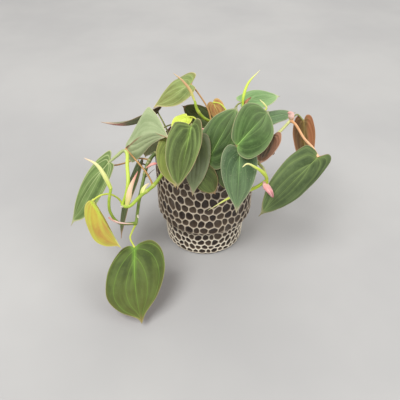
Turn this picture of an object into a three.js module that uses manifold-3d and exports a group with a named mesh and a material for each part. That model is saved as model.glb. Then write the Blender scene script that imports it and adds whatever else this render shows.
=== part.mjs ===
// Trailing velvet leaf philodendron in a pot with a raised net of glaze.
// Millimetres, +Z up. The origin is the centre of the pot's flat base, and the front is -Y.
import * as THREE from "three";
import { mergeVertices } from "three/addons/utils/BufferGeometryUtils.js";
import Module from "manifold-3d";

const wasm = await Module();
wasm.setup();

// Driving dimensions of the pot
const POT_HEIGHT = 130;
const BODY_RADIUS = 60;
const FOOT_RADIUS = 51.5;
const BASE_RADIUS = 48.5;
const BASE_FACE_SIDES = 3;
const BASE_FACE_RADIUS = 24;
const FOOT_EDGE = 3;
const SHOULDER_LOW = 36;
const SHOULDER_HIGH = 47;
const RIM_BAND_LOW = 124.5;
const RIM_OUTER_RADIUS = 59.4;
const WALL_PROFILE = [[55, 130], [54, 126], [54, 48], [44.5, 36], [43, 7]];

// The raised net: rows of rounded dishes, offset by half a dish from row to row. Each dish is
// shifted and pulls at the crests round it by a seeded draw, and a row's dishes also sway round
// the pot and wave up and down.
const DISHES_AROUND = 38;
const FOOT_ROWS = 4;
const FOOT_ROW_LOW = 4.5;
const FOOT_ROW_PITCH = 8.5;
const SHOULDER_ROW = 38.5;
const BODY_ROWS = 7;
const BODY_ROW_LOW = 48.5;
const BODY_ROW_PITCH = 11;
const BORDER_BELOW = 0;
const BORDER_ABOVE = 125.5;
const DISH_SHARE = 0.74;
const DISH_DEPTH = 2;
const TURN_JITTER = 1.1;
const RISE_JITTER = 0.5;
const PULL_JITTER = 0.9;
const ROW_SWAY = 0.4;
const SWAYS_AROUND = 3;
const ROW_WAVE = 0.14;
const WAVES_AROUND = 4;
const ROW_PHASE = 2.1;
const NET_SEED = 7;

// Soil, filled to below the rim
const SOIL_TOP = 113;
const SOIL_BUMP = 1.4;
const SOIL_PROFILE = [[0, 7.4], [42, 7.4], [43.6, 35.5], [53.3, 49], [53.3, SOIL_TOP]];
const SOIL_SIDES = 24;
const SOIL_RINGS = 4;

// Leaves and stems
const BLADE_THICKNESS = 0.8;
const GAP = 0.35;
const PETIOLE_RADIUS = 1.05;
const PETIOLE_SIDES = 5;
const STEM_SIDES = 6;
const SHOOT_SIDES = 6;
const TUBE_STEP = 12;
const LINE_FRAMES = 40;
const SHOOT_NECK = 0.75;
const SHOOT_WIDEST = 0.3;
const SHOOT_TIP_RADIUS = 0.3;
const HOLE_PLAY = 1.2;
const LEAF_ROWS = 10;
const SMALL_LEAF_ROWS = 7;
const LEAF_COLUMNS = [-1, -0.5, 0, 0.5, 1];
const MIDRIB_CROWDING = 1.6;
const PLAIN_FORM = {
  outline: ["even", "even"], lobe: [1, 1], fold: [8, 8], curl: [-24, -24], taper: [0, 0],
  arch: 0.05, bend: 0,
};

const COLOURS = {
  ridge: [0.73, 0.67, 0.59],
  soil: [0.1, 0.07, 0.05],
  green: [0.2, 0.34, 0.14],
  sage: [0.5, 0.6, 0.42],
  olive: [0.38, 0.4, 0.14],
  brown: [0.42, 0.24, 0.15],
  lime: [0.62, 0.76, 0.16],
  gold: [0.76, 0.66, 0.16],
  cream: [0.86, 0.82, 0.6],
  pink: [0.85, 0.5, 0.46],
  stem: [0.45, 0.5, 0.16],
};

// Each blade: where its stalk meets it, its tip, the way its upper face looks, its width, and
// its form. A pair in the form is for the left and the right half, as seen from above with the
// tip ahead. fold lifts a half and curl bends it further up towards its margin, in degrees.
// outline picks the half's outline, lobe scales how far it reaches back past the stalk, and taper
// narrows it towards the tip. arch lifts the middle of the midrib and bend moves it to the right,
// in shares of the length.
const LEAVES = [
  {
    base: [-17, 52, 187], tip: [-60, 16, 174], face: [0, -0.3, 1],
    width: 48, outline: ["full", "lobed"], lobe: [0.1, 1],
    fold: [12, 0], arch: 0.02, taper: [0.5, 0],
  },
  {
    base: [-58, 40, 157],
    tip: [-125, 25, 151],
    face: [0, 0.1, 1],
    width: 38,
    outline: ["slim", "even"],
    fold: [28, 0],
    curl: [40, -12],
    arch: -0.15,
    taper: [0.2, 0.2],
  },
  {
    base: [-91, -18, 141],
    tip: [-39, -40, 168],
    face: [-0.52, -0.36, 0.77],
    width: 60,
    outline: ["peaked", "even"],
    lobe: [0.6, 0.3],
    fold: [5, -54],
    curl: [-8, -10],
    bend: -0.17,
    arch: 0.06,
    taper: [-0.35, 0.9],
    colour: "sage",
  },
  { base: [-58, 6, 145], tip: [-70, -16, 127], face: [-0.4, -0.6, 0.6], width: 31 },
  {
    base: [-15, -42, 184], tip: [-30, -78, 128], face: [0.05, -0.85, 0.5],
    width: 43, lobe: [1.2, 0.3], fold: [56, 12], taper: [0.35, 0],
  },
  { base: [-33, -28, 159], tip: [-33, -65, 120], face: [0, -0.8, 0.5], width: 42, colour: "olive" },
  {
    base: [-8, -41, 170], tip: [-14, -74, 116], face: [0.15, -0.85, 0.4],
    width: 31, outline: ["slim", "slim"], colour: "olive",
  },
  { base: [4, -47, 147], tip: [37, 9, 181], face: [0, -0.77, 0.64], width: 42 },
  {
    base: [32, -59, 171], tip: [69, -14, 187], face: [0, -0.77, 0.64],
    width: 48, outline: ["full", "even"], lobe: [0.3, 0.8],
    fold: [24, 6], arch: 0.1, curl: [-12, -12],
  },
  {
    base: [36, -53, 162], tip: [33, -90, 105], face: [0, -0.8, 0.5],
    width: 46, outline: ["slim", "slim"], fold: [10, 10], taper: [0.3, 0.3],
  },
  {
    base: [121, -50, 151], tip: [59, -78, 90], face: [0, -0.6, 0.75],
    width: 47, lobe: [1, 0.3], fold: [-30, 22], taper: [0.15, 0.15],
  },
  {
    base: [115, 12, 160], tip: [122, -10, 106], face: [0, 1, 0.1],
    width: 26, curl: [-30, -30], colour: "brown",
  },
  { base: [76, -14, 155], tip: [59, -49, 141], face: [0.5, 0.75, 0.1], width: 30, colour: "brown" },
  { base: [45, 35, 172], tip: [91, 48, 173], face: [0, -0.15, 1], width: 36 },
  { base: [61, 8, 161], tip: [107, 24, 164], face: [0, -0.1, 1], width: 26 },
  { base: [11, 38, 140], tip: [-29, 59, 155], face: [0, -0.8, 0.6], width: 27 },
  {
    base: [10, 44, 167], tip: [22, 32, 149], face: [-0.4, -0.6, 0.7],
    width: 20, colour: "brown", small: true,
  },
  {
    base: [-21, 9, 167], tip: [-38, -15, 162], face: [-0.2, -0.6, 0.8],
    width: 18, colour: "lime", small: true,
  },
  { base: [-7, -57, 140], tip: [11, -71, 116], face: [0.1, -0.9, 0.4], width: 27, small: true },
  {
    base: [19, -50, 139], tip: [31, -70, 118], face: [0.1, -0.7, 0.7],
    width: 25, lobe: [0.2, 0.2], small: true,
  },
  {
    base: [-109, -29, 131], tip: [-155, -71, 69], face: [-0.3, -0.7, 0.6],
    width: 38, outline: ["full", "slim"], lobe: [0.1, 1.6], taper: [0.1, 0.6], bend: 0.03,
  },
  {
    base: [-121, -81, 116], tip: [-91, -110, 72], face: [0.15, -0.8, 0.5],
    width: 42, outline: ["even", "full"], lobe: [0.3, 0.9], fold: [-84, 0], taper: [0.9, 0], colour: "gold",
  },
  {
    base: [-79, -98, 62], tip: [-69, -161, 8], face: [0, -0.77, 0.64],
    width: 68, outline: ["slim", "full"], fold: [5, 5], bend: 0.03,
  },
  {
    base: [-80, -2, 109], tip: [-100, -68, 46], face: [-1, -0.55, 0.1],
    width: 34, lobe: [0.5, 0.5], colour: "sage",
  },
  { base: [-30, 66, 126], tip: [-48, 88, 66], face: [-0.5, 0.8, 0.3], width: 42 },
  { base: [36, 66, 130], tip: [52, 90, 74], face: [0.5, 0.8, 0.3], width: 42 },
  { base: [3, 86, 118], tip: [6, 106, 48], face: [0, 0.9, 0.35], width: 46 },
  { base: [-62, 37, 128], tip: [-94, 55, 76], face: [-0.7, 0.5, 0.5], width: 40 },
  { base: [62, 37, 129], tip: [91, 60, 77], face: [0.7, 0.5, 0.5], width: 40 },
];

// Half of the heart-shaped outline from the stalk round the lobe to the tip: the distance from
// the midrib in half widths, and the place along the midrib in lengths. A slim half is widest
// near the stalk, and a full one near the middle.
const OUTLINES = {
  even: [
    [0, 0], [0.3, -0.11], [0.74, -0.06], [1, 0.19], [0.99, 0.41],
    [0.81, 0.64], [0.44, 0.83], [0.13, 0.94], [0, 1],
  ],
  slim: [
    [0, 0], [0.22, -0.06], [0.58, -0.07], [0.88, 0.05], [1, 0.25],
    [0.91, 0.46], [0.63, 0.68], [0.22, 0.87], [0, 1],
  ],
  lobed: [
    [0, 0], [0.36, -0.28], [0.8, -0.28], [1, -0.14], [0.96, 0.08],
    [0.79, 0.3], [0.54, 0.54], [0.24, 0.78], [0, 1],
  ],
  peaked: [
    [0, 0], [0.2, 0], [0.41, 0.11], [0.66, 0.25], [1, 0.43],
    [0.76, 0.6], [0.46, 0.77], [0.15, 0.93], [0, 1],
  ],
  full: [
    [0, 0], [0.22, -0.03], [0.52, 0.04], [0.85, 0.24], [1, 0.48],
    [0.95, 0.66], [0.68, 0.8], [0.2, 0.92], [0, 1],
  ],
};

// Each vine: the stem's centre line from inside the soil to its end, its end radii, and the
// stalks that leave it. A stalk ends at its leaf, so its list stops short of the leaf.
const VINES = [
  {
    name: "vine_left_front",
    stem: [[-30, -32, 100], [-33, -36, 126], [-38, -43, 136], [-45, -49, 131],
      [-57, -63, 122], [-70, -71, 115], [-83, -79, 106], [-91, -77, 105]],
    radii: [2.3, 1.8],
    stalks: [
      { leaf: 3, path: [[-57, -63, 122], [-64, -50, 128], [-73, -39, 133]] },
      { leaf: 22, path: [[-90, -77, 105], [-94, -74, 112], [-103, -74, 119], [-112, -77, 120]] },
    ],
  },
  {
    name: "vine_left",
    stem: [[-34, -8, 100], [-38, -10, 126], [-48, -16, 137], [-58, -24, 137],
      [-65, -32, 130], [-69, -46, 120], [-74, -62, 102], [-78, -79, 79]],
    radii: [2.3, 1.7],
    stalks: [
      { leaf: 2, path: [[-38, -10, 126], [-42, 6, 142], [-50, 24, 151]] },
      { leaf: 4, path: [[-38, -10, 127], [-45, 0, 138], [-52, 8, 144]] },
      { leaf: 21, path: [[-63, -29, 133], [-79, -12, 123], [-96, -13, 117], [-106, -21, 120]] },
      { leaf: 24, path: [[-65, -32, 130], [-68, -20, 119], [-75, -7, 112]] },
      { leaf: 23, path: [[-78, -78, 80], [-82, -85, 74], [-84, -91, 70]] },
      {
        radius: 1.6,
        path: [[-78, -78, 80], [-95, -85, 87], [-103, -85, 103], [-103, -83, 116], [-100, -78, 130]],
      },
    ],
  },
  {
    name: "vine_front",
    stem: [[-16, -22, 100], [-16, -22, 130], [-16, -22, 152], [-15, -24, 166]],
    radii: [2.2, 1.6],
    stalks: [
      { leaf: 5, path: [[-15, -24, 165], [-15, -31, 180]] },
      { leaf: 6, path: [[-16, -22, 140], [-24, -21, 160]] },
      { leaf: 7, path: [[-16, -22, 148], [-12, -24, 166], [-8, -34, 174]] },
      { leaf: 18, path: [[-16, -22, 145], [-5, -8, 158], [-12, 4, 168]] },
      { leaf: 19, path: [[-16, -22, 124], [-14, -36, 136], [-9, -49, 142]] },
    ],
  },
  {
    name: "vine_centre",
    stem: [[4, 10, 100], [6, 12, 130], [12, 18, 149], [7, 16, 156], [-2, 14, 163],
      [-9, 14, 173], [-12, 17, 183]],
    radii: [2.2, 1.6],
    stalks: [
      { leaf: 1, path: [[8, 16, 155], [3, 36, 164], [-9, 47, 179]] },
      { leaf: 16, path: [[6, 12, 128], [12, 26, 134]] },
      { leaf: 17, path: [[11, 17, 146], [26, 30, 160], [18, 41, 167]] },
    ],
  },
  {
    name: "vine_right_back",
    stem: [[22, 22, 100], [26, 20, 130], [34, 16, 152], [40, 12, 166], [43, 10, 180]],
    radii: [2.2, 1.6],
    stalks: [
      { leaf: 14, path: [[34, 16, 152], [34, 26, 164], [39, 33, 170]] },
      { leaf: 15, path: [[30, 18, 142], [44, 10, 152], [54, 4, 158]] },
    ],
  },
  {
    name: "vine_right",
    stem: [[40, 2, 100], [43, 0, 126], [52, -6, 137], [66, -12, 139], [82, -4, 150], [100, 8, 164]],
    radii: [2.3, 1.6],
    stalks: [
      { leaf: 11, radius: 1.5, path: [[99, 7, 163], [103, -2, 163], [110, -22, 157], [116, -42, 157]] },
      { leaf: 12, path: [[99, 7, 163], [106, 12, 168]] },
      { leaf: 13, path: [[80, -5, 149], [81, -9, 153]] },
    ],
  },
  {
    name: "vine_right_front",
    stem: [[34, -20, 100], [37, -24, 124], [44, -30, 135], [54, -36, 137],
      [63, -43, 133], [67, -55, 128], [67, -64, 127]],
    radii: [2.2, 1.5],
    stalks: [
      { leaf: 8, path: [[36, -23, 118], [20, -34, 132], [9, -43, 142]] },
      { leaf: 9, path: [[43, -29, 134], [42, -40, 156], [37, -50, 167]] },
      { leaf: 10, path: [[41, -28, 132], [44, -36, 150], [40, -46, 160]] },
      { leaf: 20, path: [[36, -23, 120], [24, -34, 135], [19, -43, 141]] },
    ],
  },
  {
    name: "vine_back",
    stem: [[0, 36, 100], [0, 40, 126], [1, 50, 138], [2, 62, 139], [3, 72, 133]],
    radii: [2.2, 1.6],
    stalks: [
      { leaf: 25, path: [[0, 44, 133], [-14, 54, 141], [-25, 63, 136]] },
      { leaf: 26, path: [[0, 46, 135], [16, 54, 143], [30, 63, 140]] },
      { leaf: 27, path: [[3, 71, 134], [3, 80, 128]] },
      { leaf: 28, path: [[0, 42, 130], [-20, 42, 141], [-45, 39, 138]] },
      { leaf: 29, path: [[0, 42, 130], [20, 42, 141], [45, 39, 139]] },
    ],
  },
];

// New leaves still rolled up, and the sheaths that wrapped older ones. Each stands on a vine and
// tapers to a point. path starts at the vine, radius is the widest.
const SHOOTS = [
  { name: "new_leaf_left", vine: 1, radius: 2.3, colour: "cream",
    path: [[-100, -78, 130], [-106, -73, 144], [-113, -69, 154], [-126, -65, 160]] },
  { name: "new_leaf_low_left", vine: 0, radius: 2.4, colour: "lime",
    path: [[-91, -77, 106], [-86, -70, 117], [-84, -62, 127], [-86, -46, 136], [-87.5, -32, 144.5],
      [-91, -30, 146], [-98, -37.5, 144], [-105.5, -46, 141]] },
  { name: "new_leaf_back", vine: 3, radius: 1.8, colour: "lime",
    path: [[-12, 17, 183], [-17, 21, 194], [-25, 25, 203], [-36, 27, 212]] },
  { name: "new_leaf_top", vine: 4, radius: 1.8, colour: "lime",
    path: [[43, 10, 180], [43, 14, 187], [49, 28, 199], [63, 40, 210]] },
  { name: "new_leaf_middle", vine: 4, radius: 2.2, colour: "lime",
    path: [[42, 11, 170], [56, 4, 172], [69, 4, 180], [67, 5, 184], [61, 8, 189]] },
  { name: "new_leaf_right", vine: 6, radius: 2.2, colour: "lime",
    path: [[67, -64, 127], [65, -66, 136], [59, -70, 146], [52, -73, 153],
      [42, -76, 160], [37, -79, 158]] },
  { name: "new_leaf_low_right", vine: 6, radius: 2.3, colour: "lime",
    path: [[66, -60, 127], [56, -65, 122], [45, -68, 119], [28, -69, 111],
      [8, -72, 98], [3, -74, 96]] },
  { name: "sheath_left", vine: 1, radius: 2.8, colour: "pink",
    path: [[-66, -37, 128], [-60, -38, 133], [-54, -41, 136]] },
  { name: "sheath_cream", vine: 0, radius: 2, colour: "cream",
    path: [[-70, -71, 115], [-66, -67, 123], [-61, -65, 127]] },
  { name: "sheath_low_left", vine: 0, radius: 2.6, colour: "pink",
    path: [[-86, -78, 106], [-84, -77, 114], [-80, -72.5, 128], [-72, -63.5, 142]] },
  { name: "sheath_lowest", vine: 1, radius: 2.4, colour: "pink",
    path: [[-81, -80.5, 82], [-89, -84.5, 86], [-97, -86.5, 90], [-107, -82, 93]] },
  { name: "sheath_right", vine: 6, radius: 3.3, colour: "pink",
    path: [[65, -62, 126], [66, -70, 125], [68, -78, 126], [71, -86, 124]] },
  { name: "sheath_far_right", vine: 5, radius: 3.3, colour: "pink",
    path: [[98.5, 6.5, 165], [98, 5.5, 169.5], [97.5, 5.5, 173], [93.5, 5, 174.5]] },
  { name: "sheath_centre", vine: 2, radius: 1.7, colour: "pink",
    path: [[-5, -6, 160], [1, -5, 159], [8, 1, 164]] },
  { name: "sheath_top", vine: 4, radius: 1.8, colour: "brown",
    path: [[43, 11, 177], [47, 15, 183], [53, 20, 186]] },
];

// A seeded draw between 0 and 1, the same on every run
function seededDraw(seed) {
  let state = seed;
  return () => {
    state = (state + 0x6d2b79f5) | 0;
    let mixed = Math.imul(state ^ (state >>> 15), 1 | state);
    mixed = (mixed + Math.imul(mixed ^ (mixed >>> 7), 61 | mixed)) ^ mixed;
    return ((mixed ^ (mixed >>> 14)) >>> 0) / 4294967296;
  };
}

const vector = (place) => new THREE.Vector3(...place);
const radians = THREE.MathUtils.degToRad;

function geometryOf(points, faces) {
  const geometry = new THREE.BufferGeometry();
  const numbers = points.flatMap((point) => [point.x, point.y, point.z]);
  geometry.setAttribute("position", new THREE.Float32BufferAttribute(numbers, 3));
  geometry.setIndex(faces.flat());
  return geometry;
}

function solidOf(geometry) {
  const bare = geometry.clone();
  bare.deleteAttribute("normal");
  bare.deleteAttribute("uv");
  const merged = mergeVertices(bare, 1e-4);
  return new wasm.Manifold(new wasm.Mesh({
    numProp: 3,
    vertProperties: new Float32Array(merged.attributes.position.array),
    triVerts: new Uint32Array(merged.index.array),
  }));
}

function geometryOfSolid(solid) {
  const mesh = solid.getMesh();
  const geometry = new THREE.BufferGeometry();
  const places = new Float32Array(mesh.vertProperties);
  geometry.setAttribute("position", new THREE.BufferAttribute(places, 3));
  geometry.setIndex(new THREE.BufferAttribute(new Uint32Array(mesh.triVerts), 1));
  return geometry;
}

function namedMesh(name, geometry, colour, roughness = 0.7) {
  const material = new THREE.MeshStandardMaterial({ roughness, metalness: 0 });
  material.color.setRGB(...COLOURS[colour]);
  const mesh = new THREE.Mesh(geometry, material);
  mesh.name = name;
  return mesh;
}

// The pot's outer radius along the crests of the net
function crestRadius(z) {
  if (z < FOOT_EDGE) return THREE.MathUtils.lerp(BASE_RADIUS, FOOT_RADIUS - 1, z / FOOT_EDGE);
  if (z < SHOULDER_LOW) return FOOT_RADIUS - 1 + (z - FOOT_EDGE) / (SHOULDER_LOW - FOOT_EDGE);
  const climb = THREE.MathUtils.smoothstep(z, SHOULDER_LOW, SHOULDER_HIGH);
  return THREE.MathUtils.lerp(FOOT_RADIUS, BODY_RADIUS, climb);
}

function rowHeights() {
  const rows = [];
  for (let row = 0; row < FOOT_ROWS; row += 1) rows.push(FOOT_ROW_LOW + row * FOOT_ROW_PITCH);
  rows.push(SHOULDER_ROW);
  for (let row = 0; row < BODY_ROWS; row += 1) rows.push(BODY_ROW_LOW + row * BODY_ROW_PITCH);
  return rows;
}

// The corner of a dish's outline that bends in the most, from which its floor is fanned out
function sharpest(edge) {
  const bends = edge.map((crest, side) => {
    const [before, after] = [edge[(side + 5) % 6], edge[(side + 1) % 6]];
    const [run, rise] = [crest.half - before.half, crest.z - before.z];
    return run * (after.z - crest.z) - rise * (after.half - crest.half);
  });
  return bends.indexOf(Math.min(...bends));
}

// The pot is one closed skin. Places on its outside are counted in half dishes round it.
function pot() {
  const draw = seededDraw(NET_SEED);
  const heights = rowHeights();
  const halves = 2 * DISHES_AROUND;
  const rowParity = (row) => ((row % 2) + 2) % 2;
  const centres = heights.map((z, row) => Array.from({ length: DISHES_AROUND }, (_, cell) => {
    const pitch = z < SHOULDER_HIGH ? FOOT_ROW_PITCH : BODY_ROW_PITCH;
    const round = (cell / DISHES_AROUND) * 2 * Math.PI;
    const phase = ROW_PHASE * row;
    return {
      turn: (draw() - 0.5) * TURN_JITTER + ROW_SWAY * Math.sin(SWAYS_AROUND * round + phase),
      z: z + pitch * ((draw() - 0.5) * RISE_JITTER + ROW_WAVE * Math.sin(WAVES_AROUND * round + phase)),
      pull: 1 + (draw() - 0.5) * PULL_JITTER,
    };
  }));
  const centre = (row, half) => {
    if (row < 0) return { half, z: BORDER_BELOW, pull: 1 };
    if (row >= heights.length) return { half, z: BORDER_ABOVE, pull: 1 };
    const index = (((half - rowParity(row)) / 2) % DISHES_AROUND + DISHES_AROUND) % DISHES_AROUND;
    const cell = centres[row][index];
    return { half: half + cell.turn, z: cell.z, pull: cell.pull };
  };
  // The crest corner at this half step, between this row and the one above it
  const corner = (row, half) => {
    const own = rowParity(half) === rowParity(row) ? row : row + 1;
    const other = own === row ? row + 1 : row;
    const three = [centre(own, half), centre(other, half - 1), centre(other, half + 1)];
    const pulls = three.reduce((sum, cell) => sum + cell.pull, 0);
    return {
      half: three.reduce((sum, cell) => sum + cell.half * cell.pull, 0) / pulls,
      z: three.reduce((sum, cell) => sum + cell.z * cell.pull, 0) / pulls,
    };
  };
  const points = [];
  const faces = [];
  const addPoint = (half, z, radius) => {
    const angle = (half / halves) * 2 * Math.PI;
    points.push(new THREE.Vector3(radius * Math.cos(angle), radius * Math.sin(angle), z));
    return points.length - 1;
  };
  const ring = (count, z, radius) =>
    Array.from({ length: count }, (_, place) => addPoint((place * halves) / count, z, radius));
  const band = (low, high) => {
    low.forEach((_, place) => {
      const next = (place + 1) % low.length;
      faces.push([low[place], low[next], high[next]], [low[place], high[next], high[place]]);
    });
  };
  const crests = [];
  for (let row = -1; row < heights.length; row += 1) {
    crests.push(Array.from({ length: halves }, (_, half) => {
      const place = corner(row, half);
      return { ...place, point: addPoint(place.half, place.z, crestRadius(place.z)) };
    }));
  }
  const crestAt = (level, half) => {
    const turns = Math.floor(half / halves);
    const crest = crests[level][half - turns * halves];
    return { half: crest.half + turns * halves, z: crest.z, point: crest.point };
  };
  for (let row = 0; row < heights.length; row += 1) {
    for (let cell = 0; cell < DISHES_AROUND; cell += 1) {
      const half = 2 * cell + rowParity(row);
      const edge = [
        crestAt(row, half), crestAt(row, half + 1), crestAt(row + 1, half + 1),
        crestAt(row + 1, half), crestAt(row + 1, half - 1), crestAt(row, half - 1),
      ];
      const middleHalf = edge.reduce((sum, crest) => sum + crest.half, 0) / 6;
      const middleZ = edge.reduce((sum, crest) => sum + crest.z, 0) / 6;
      const dish = edge.map((crest) => {
        const z = THREE.MathUtils.lerp(middleZ, crest.z, DISH_SHARE);
        const around = THREE.MathUtils.lerp(middleHalf, crest.half, DISH_SHARE);
        return addPoint(around, z, crestRadius(z) - DISH_DEPTH);
      });
      edge.forEach((crest, side) => {
        const next = (side + 1) % 6;
        faces.push([crest.point, edge[next].point, dish[next]], [crest.point, dish[next], dish[side]]);
      });
      const apex = sharpest(edge);
      for (let side = 1; side < 5; side += 1) {
        faces.push([dish[apex], dish[(apex + side) % 6], dish[(apex + side + 1) % 6]]);
      }
    }
  }
  const base = ring(halves, 0, BASE_RADIUS);
  band(base, crests[0].map((crest) => crest.point));
  const baseFace = ring(BASE_FACE_SIDES, 0, BASE_FACE_RADIUS);
  const nearest = (place) => baseFace[Math.round((place * BASE_FACE_SIDES) / halves) % BASE_FACE_SIDES];
  base.forEach((point, place) => {
    const next = base[(place + 1) % halves];
    faces.push([nearest(place), next, point]);
    if (nearest(place + 1) !== nearest(place)) faces.push([nearest(place), nearest(place + 1), next]);
  });
  faces.push(baseFace.toReversed());
  const bandLow = ring(halves, RIM_BAND_LOW, BODY_RADIUS);
  const rimOuter = ring(halves, POT_HEIGHT, RIM_OUTER_RADIUS);
  band(crests[heights.length].map((crest) => crest.point), bandLow);
  band(bandLow, rimOuter);
  const walls = WALL_PROFILE.map(([radius, z]) => ring(DISHES_AROUND, z, radius));
  walls[0].forEach((point, place) => {
    const next = walls[0][(place + 1) % DISHES_AROUND];
    const [first, middle, last] = [0, 1, 2].map((step) => rimOuter[(2 * place + step) % halves]);
    faces.push([first, middle, point], [middle, last, next], [middle, next, point]);
  });
  for (let level = 0; level + 1 < walls.length; level += 1) {
    band(walls[level + 1].toReversed(), walls[level].toReversed());
  }
  const floor = walls.at(-1);
  const floorCentre = addPoint(0, WALL_PROFILE.at(-1)[1], 0);
  floor.forEach((point, place) => faces.push([floorCentre, point, floor[(place + 1) % DISHES_AROUND]]));
  return geometryOf(points, faces);
}

// Smooth curve through a list of number lists, at a share of the way along it
function smoothThrough(list, share) {
  const at = Math.min(share * (list.length - 1), list.length - 1 - 1e-9);
  const index = Math.floor(at);
  const step = at - index;
  const before = list[Math.max(index - 1, 0)];
  const [start, end] = [list[index], list[index + 1]];
  const after = list[Math.min(index + 2, list.length - 1)];
  return start.map((value, axis) => {
    const slopeIn = (end[axis] - before[axis]) / 2;
    const slopeOut = (after[axis] - value) / 2;
    const rise = end[axis] - value;
    return value + step * (slopeIn + step * (3 * rise - 2 * slopeIn - slopeOut
      + step * (slopeIn + slopeOut - 2 * rise)));
  });
}

// A point of a blade's middle surface. across runs from -1 at the left margin over the midrib to
// 1 at the right, along from 0 at the stalk to 1 at the tip.
function bladePoint(leaf, across, along) {
  const form = { ...PLAIN_FORM, ...leaf };
  const base = vector(leaf.base);
  const chord = vector(leaf.tip).sub(base);
  const length = chord.length();
  const ahead = chord.normalize();
  const up = vector(leaf.face);
  up.addScaledVector(ahead, -up.dot(ahead)).normalize();
  const right = new THREE.Vector3().crossVectors(ahead, up);
  const half = leaf.width / 2;
  const side = across < 0 ? 0 : 1;
  const reach = Math.abs(across);
  const [marginOut, marginAlong] = smoothThrough(OUTLINES[form.outline[side]], along);
  const margin = marginAlong < 0 ? marginAlong * form.lobe[side] : marginAlong;
  const forward = THREE.MathUtils.lerp(along ** MIDRIB_CROWDING, margin, reach);
  const fold = radians(form.fold[side]);
  const curl = radians(form.curl[side]);
  const out = reach * marginOut * (1 - form.taper[side] * along);
  const end = fold + curl * out;
  const flat = Math.abs(curl) < 1e-6;
  const width = flat ? half * out * Math.cos(fold) : (half / curl) * (Math.sin(end) - Math.sin(fold));
  const lift = flat ? half * out * Math.sin(fold) : (half / curl) * (Math.cos(fold) - Math.cos(end));
  const bow = length * Math.sin(Math.PI * forward);
  return base
    .addScaledVector(ahead, length * forward)
    .addScaledVector(right, (side ? 1 : -1) * width + bow * form.bend)
    .addScaledVector(up, lift + bow * form.arch);
}

// A blade: the same net of triangles on its upper and under face, joined round the margin
function blade(leaf) {
  const rows = leaf.small ? SMALL_LEAF_ROWS : LEAF_ROWS;
  const columns = LEAF_COLUMNS;
  const middle = [bladePoint(leaf, 0, 0)];
  for (let row = 1; row < rows; row += 1) {
    columns.forEach((across) => middle.push(bladePoint(leaf, across, row / rows)));
  }
  middle.push(bladePoint(leaf, 0, 1));
  const last = middle.length - 1;
  const at = (row, column) => {
    if (row === 0) return 0;
    return row === rows ? last : 1 + (row - 1) * columns.length + column;
  };
  const faces = [];
  for (let row = 0; row < rows; row += 1) {
    for (let column = 0; column + 1 < columns.length; column += 1) {
      const near = [at(row, column), at(row, column + 1)];
      const far = [at(row + 1, column), at(row + 1, column + 1)];
      if (row === 0) faces.push([near[0], far[1], far[0]]);
      else if (row === rows - 1) faces.push([near[0], near[1], far[0]]);
      else if (column < 2) faces.push([near[0], near[1], far[1]], [near[0], far[1], far[0]]);
      else faces.push([near[0], near[1], far[0]], [near[1], far[1], far[0]]);
    }
  }
  const normals = middle.map(() => new THREE.Vector3());
  faces.forEach(([a, b, c]) => {
    const edge = middle[b].clone().sub(middle[a]);
    const normal = edge.cross(middle[c].clone().sub(middle[a])).normalize();
    [a, b, c].forEach((corner) => normals[corner].add(normal));
  });
  normals.forEach((normal) => normal.normalize());
  const skinAt = (rise) => middle.map((point, place) =>
    point.clone().addScaledVector(normals[place], rise));
  const upper = skinAt(BLADE_THICKNESS / 2);
  const under = skinAt(-BLADE_THICKNESS / 2);
  const count = middle.length;
  const skin = faces.flatMap(([a, b, c]) => [[a, b, c], [a + count, c + count, b + count]]);
  const margin = [0];
  for (let row = 1; row < rows; row += 1) margin.push(at(row, columns.length - 1));
  margin.push(last);
  for (let row = rows - 1; row > 0; row -= 1) margin.push(at(row, 0));
  margin.forEach((point, place) => {
    const next = margin[(place + 1) % margin.length];
    skin.push([next, point, point + count], [next, point + count, next + count]);
  });
  return geometryOf([...upper, ...under], skin);
}

// A round bar along a smooth line, from one share of its length to another
function bar(line, radiusAt, sides, from = 0, to = 1) {
  const length = line.getLength() * (to - from);
  const steps = Math.max(2, Math.round(length / TUBE_STEP));
  const frames = line.computeFrenetFrames(LINE_FRAMES, false);
  const points = [];
  for (let step = 0; step <= steps; step += 1) {
    const share = from + ((to - from) * step) / steps;
    const centre = line.getPointAt(share);
    const frame = Math.round(share * LINE_FRAMES);
    for (let side = 0; side < sides; side += 1) {
      const angle = (side / sides) * 2 * Math.PI;
      points.push(centre.clone()
        .addScaledVector(frames.normals[frame], radiusAt(share) * Math.cos(angle))
        .addScaledVector(frames.binormals[frame], radiusAt(share) * Math.sin(angle)));
    }
  }
  const faces = [];
  for (let step = 0; step < steps; step += 1) {
    for (let side = 0; side < sides; side += 1) {
      const next = (side + 1) % sides;
      const [a, b] = [step * sides + side, step * sides + next];
      faces.push([a, b, b + sides], [a, b + sides, a + sides]);
    }
  }
  for (let side = 1; side + 1 < sides; side += 1) {
    const end = steps * sides;
    faces.push([0, side + 1, side], [end, end + side, end + side + 1]);
  }
  return geometryOf(points, faces);
}

const smoothLine = (places) => new THREE.CatmullRomCurve3(places.map(vector), false, "centripetal");

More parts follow.
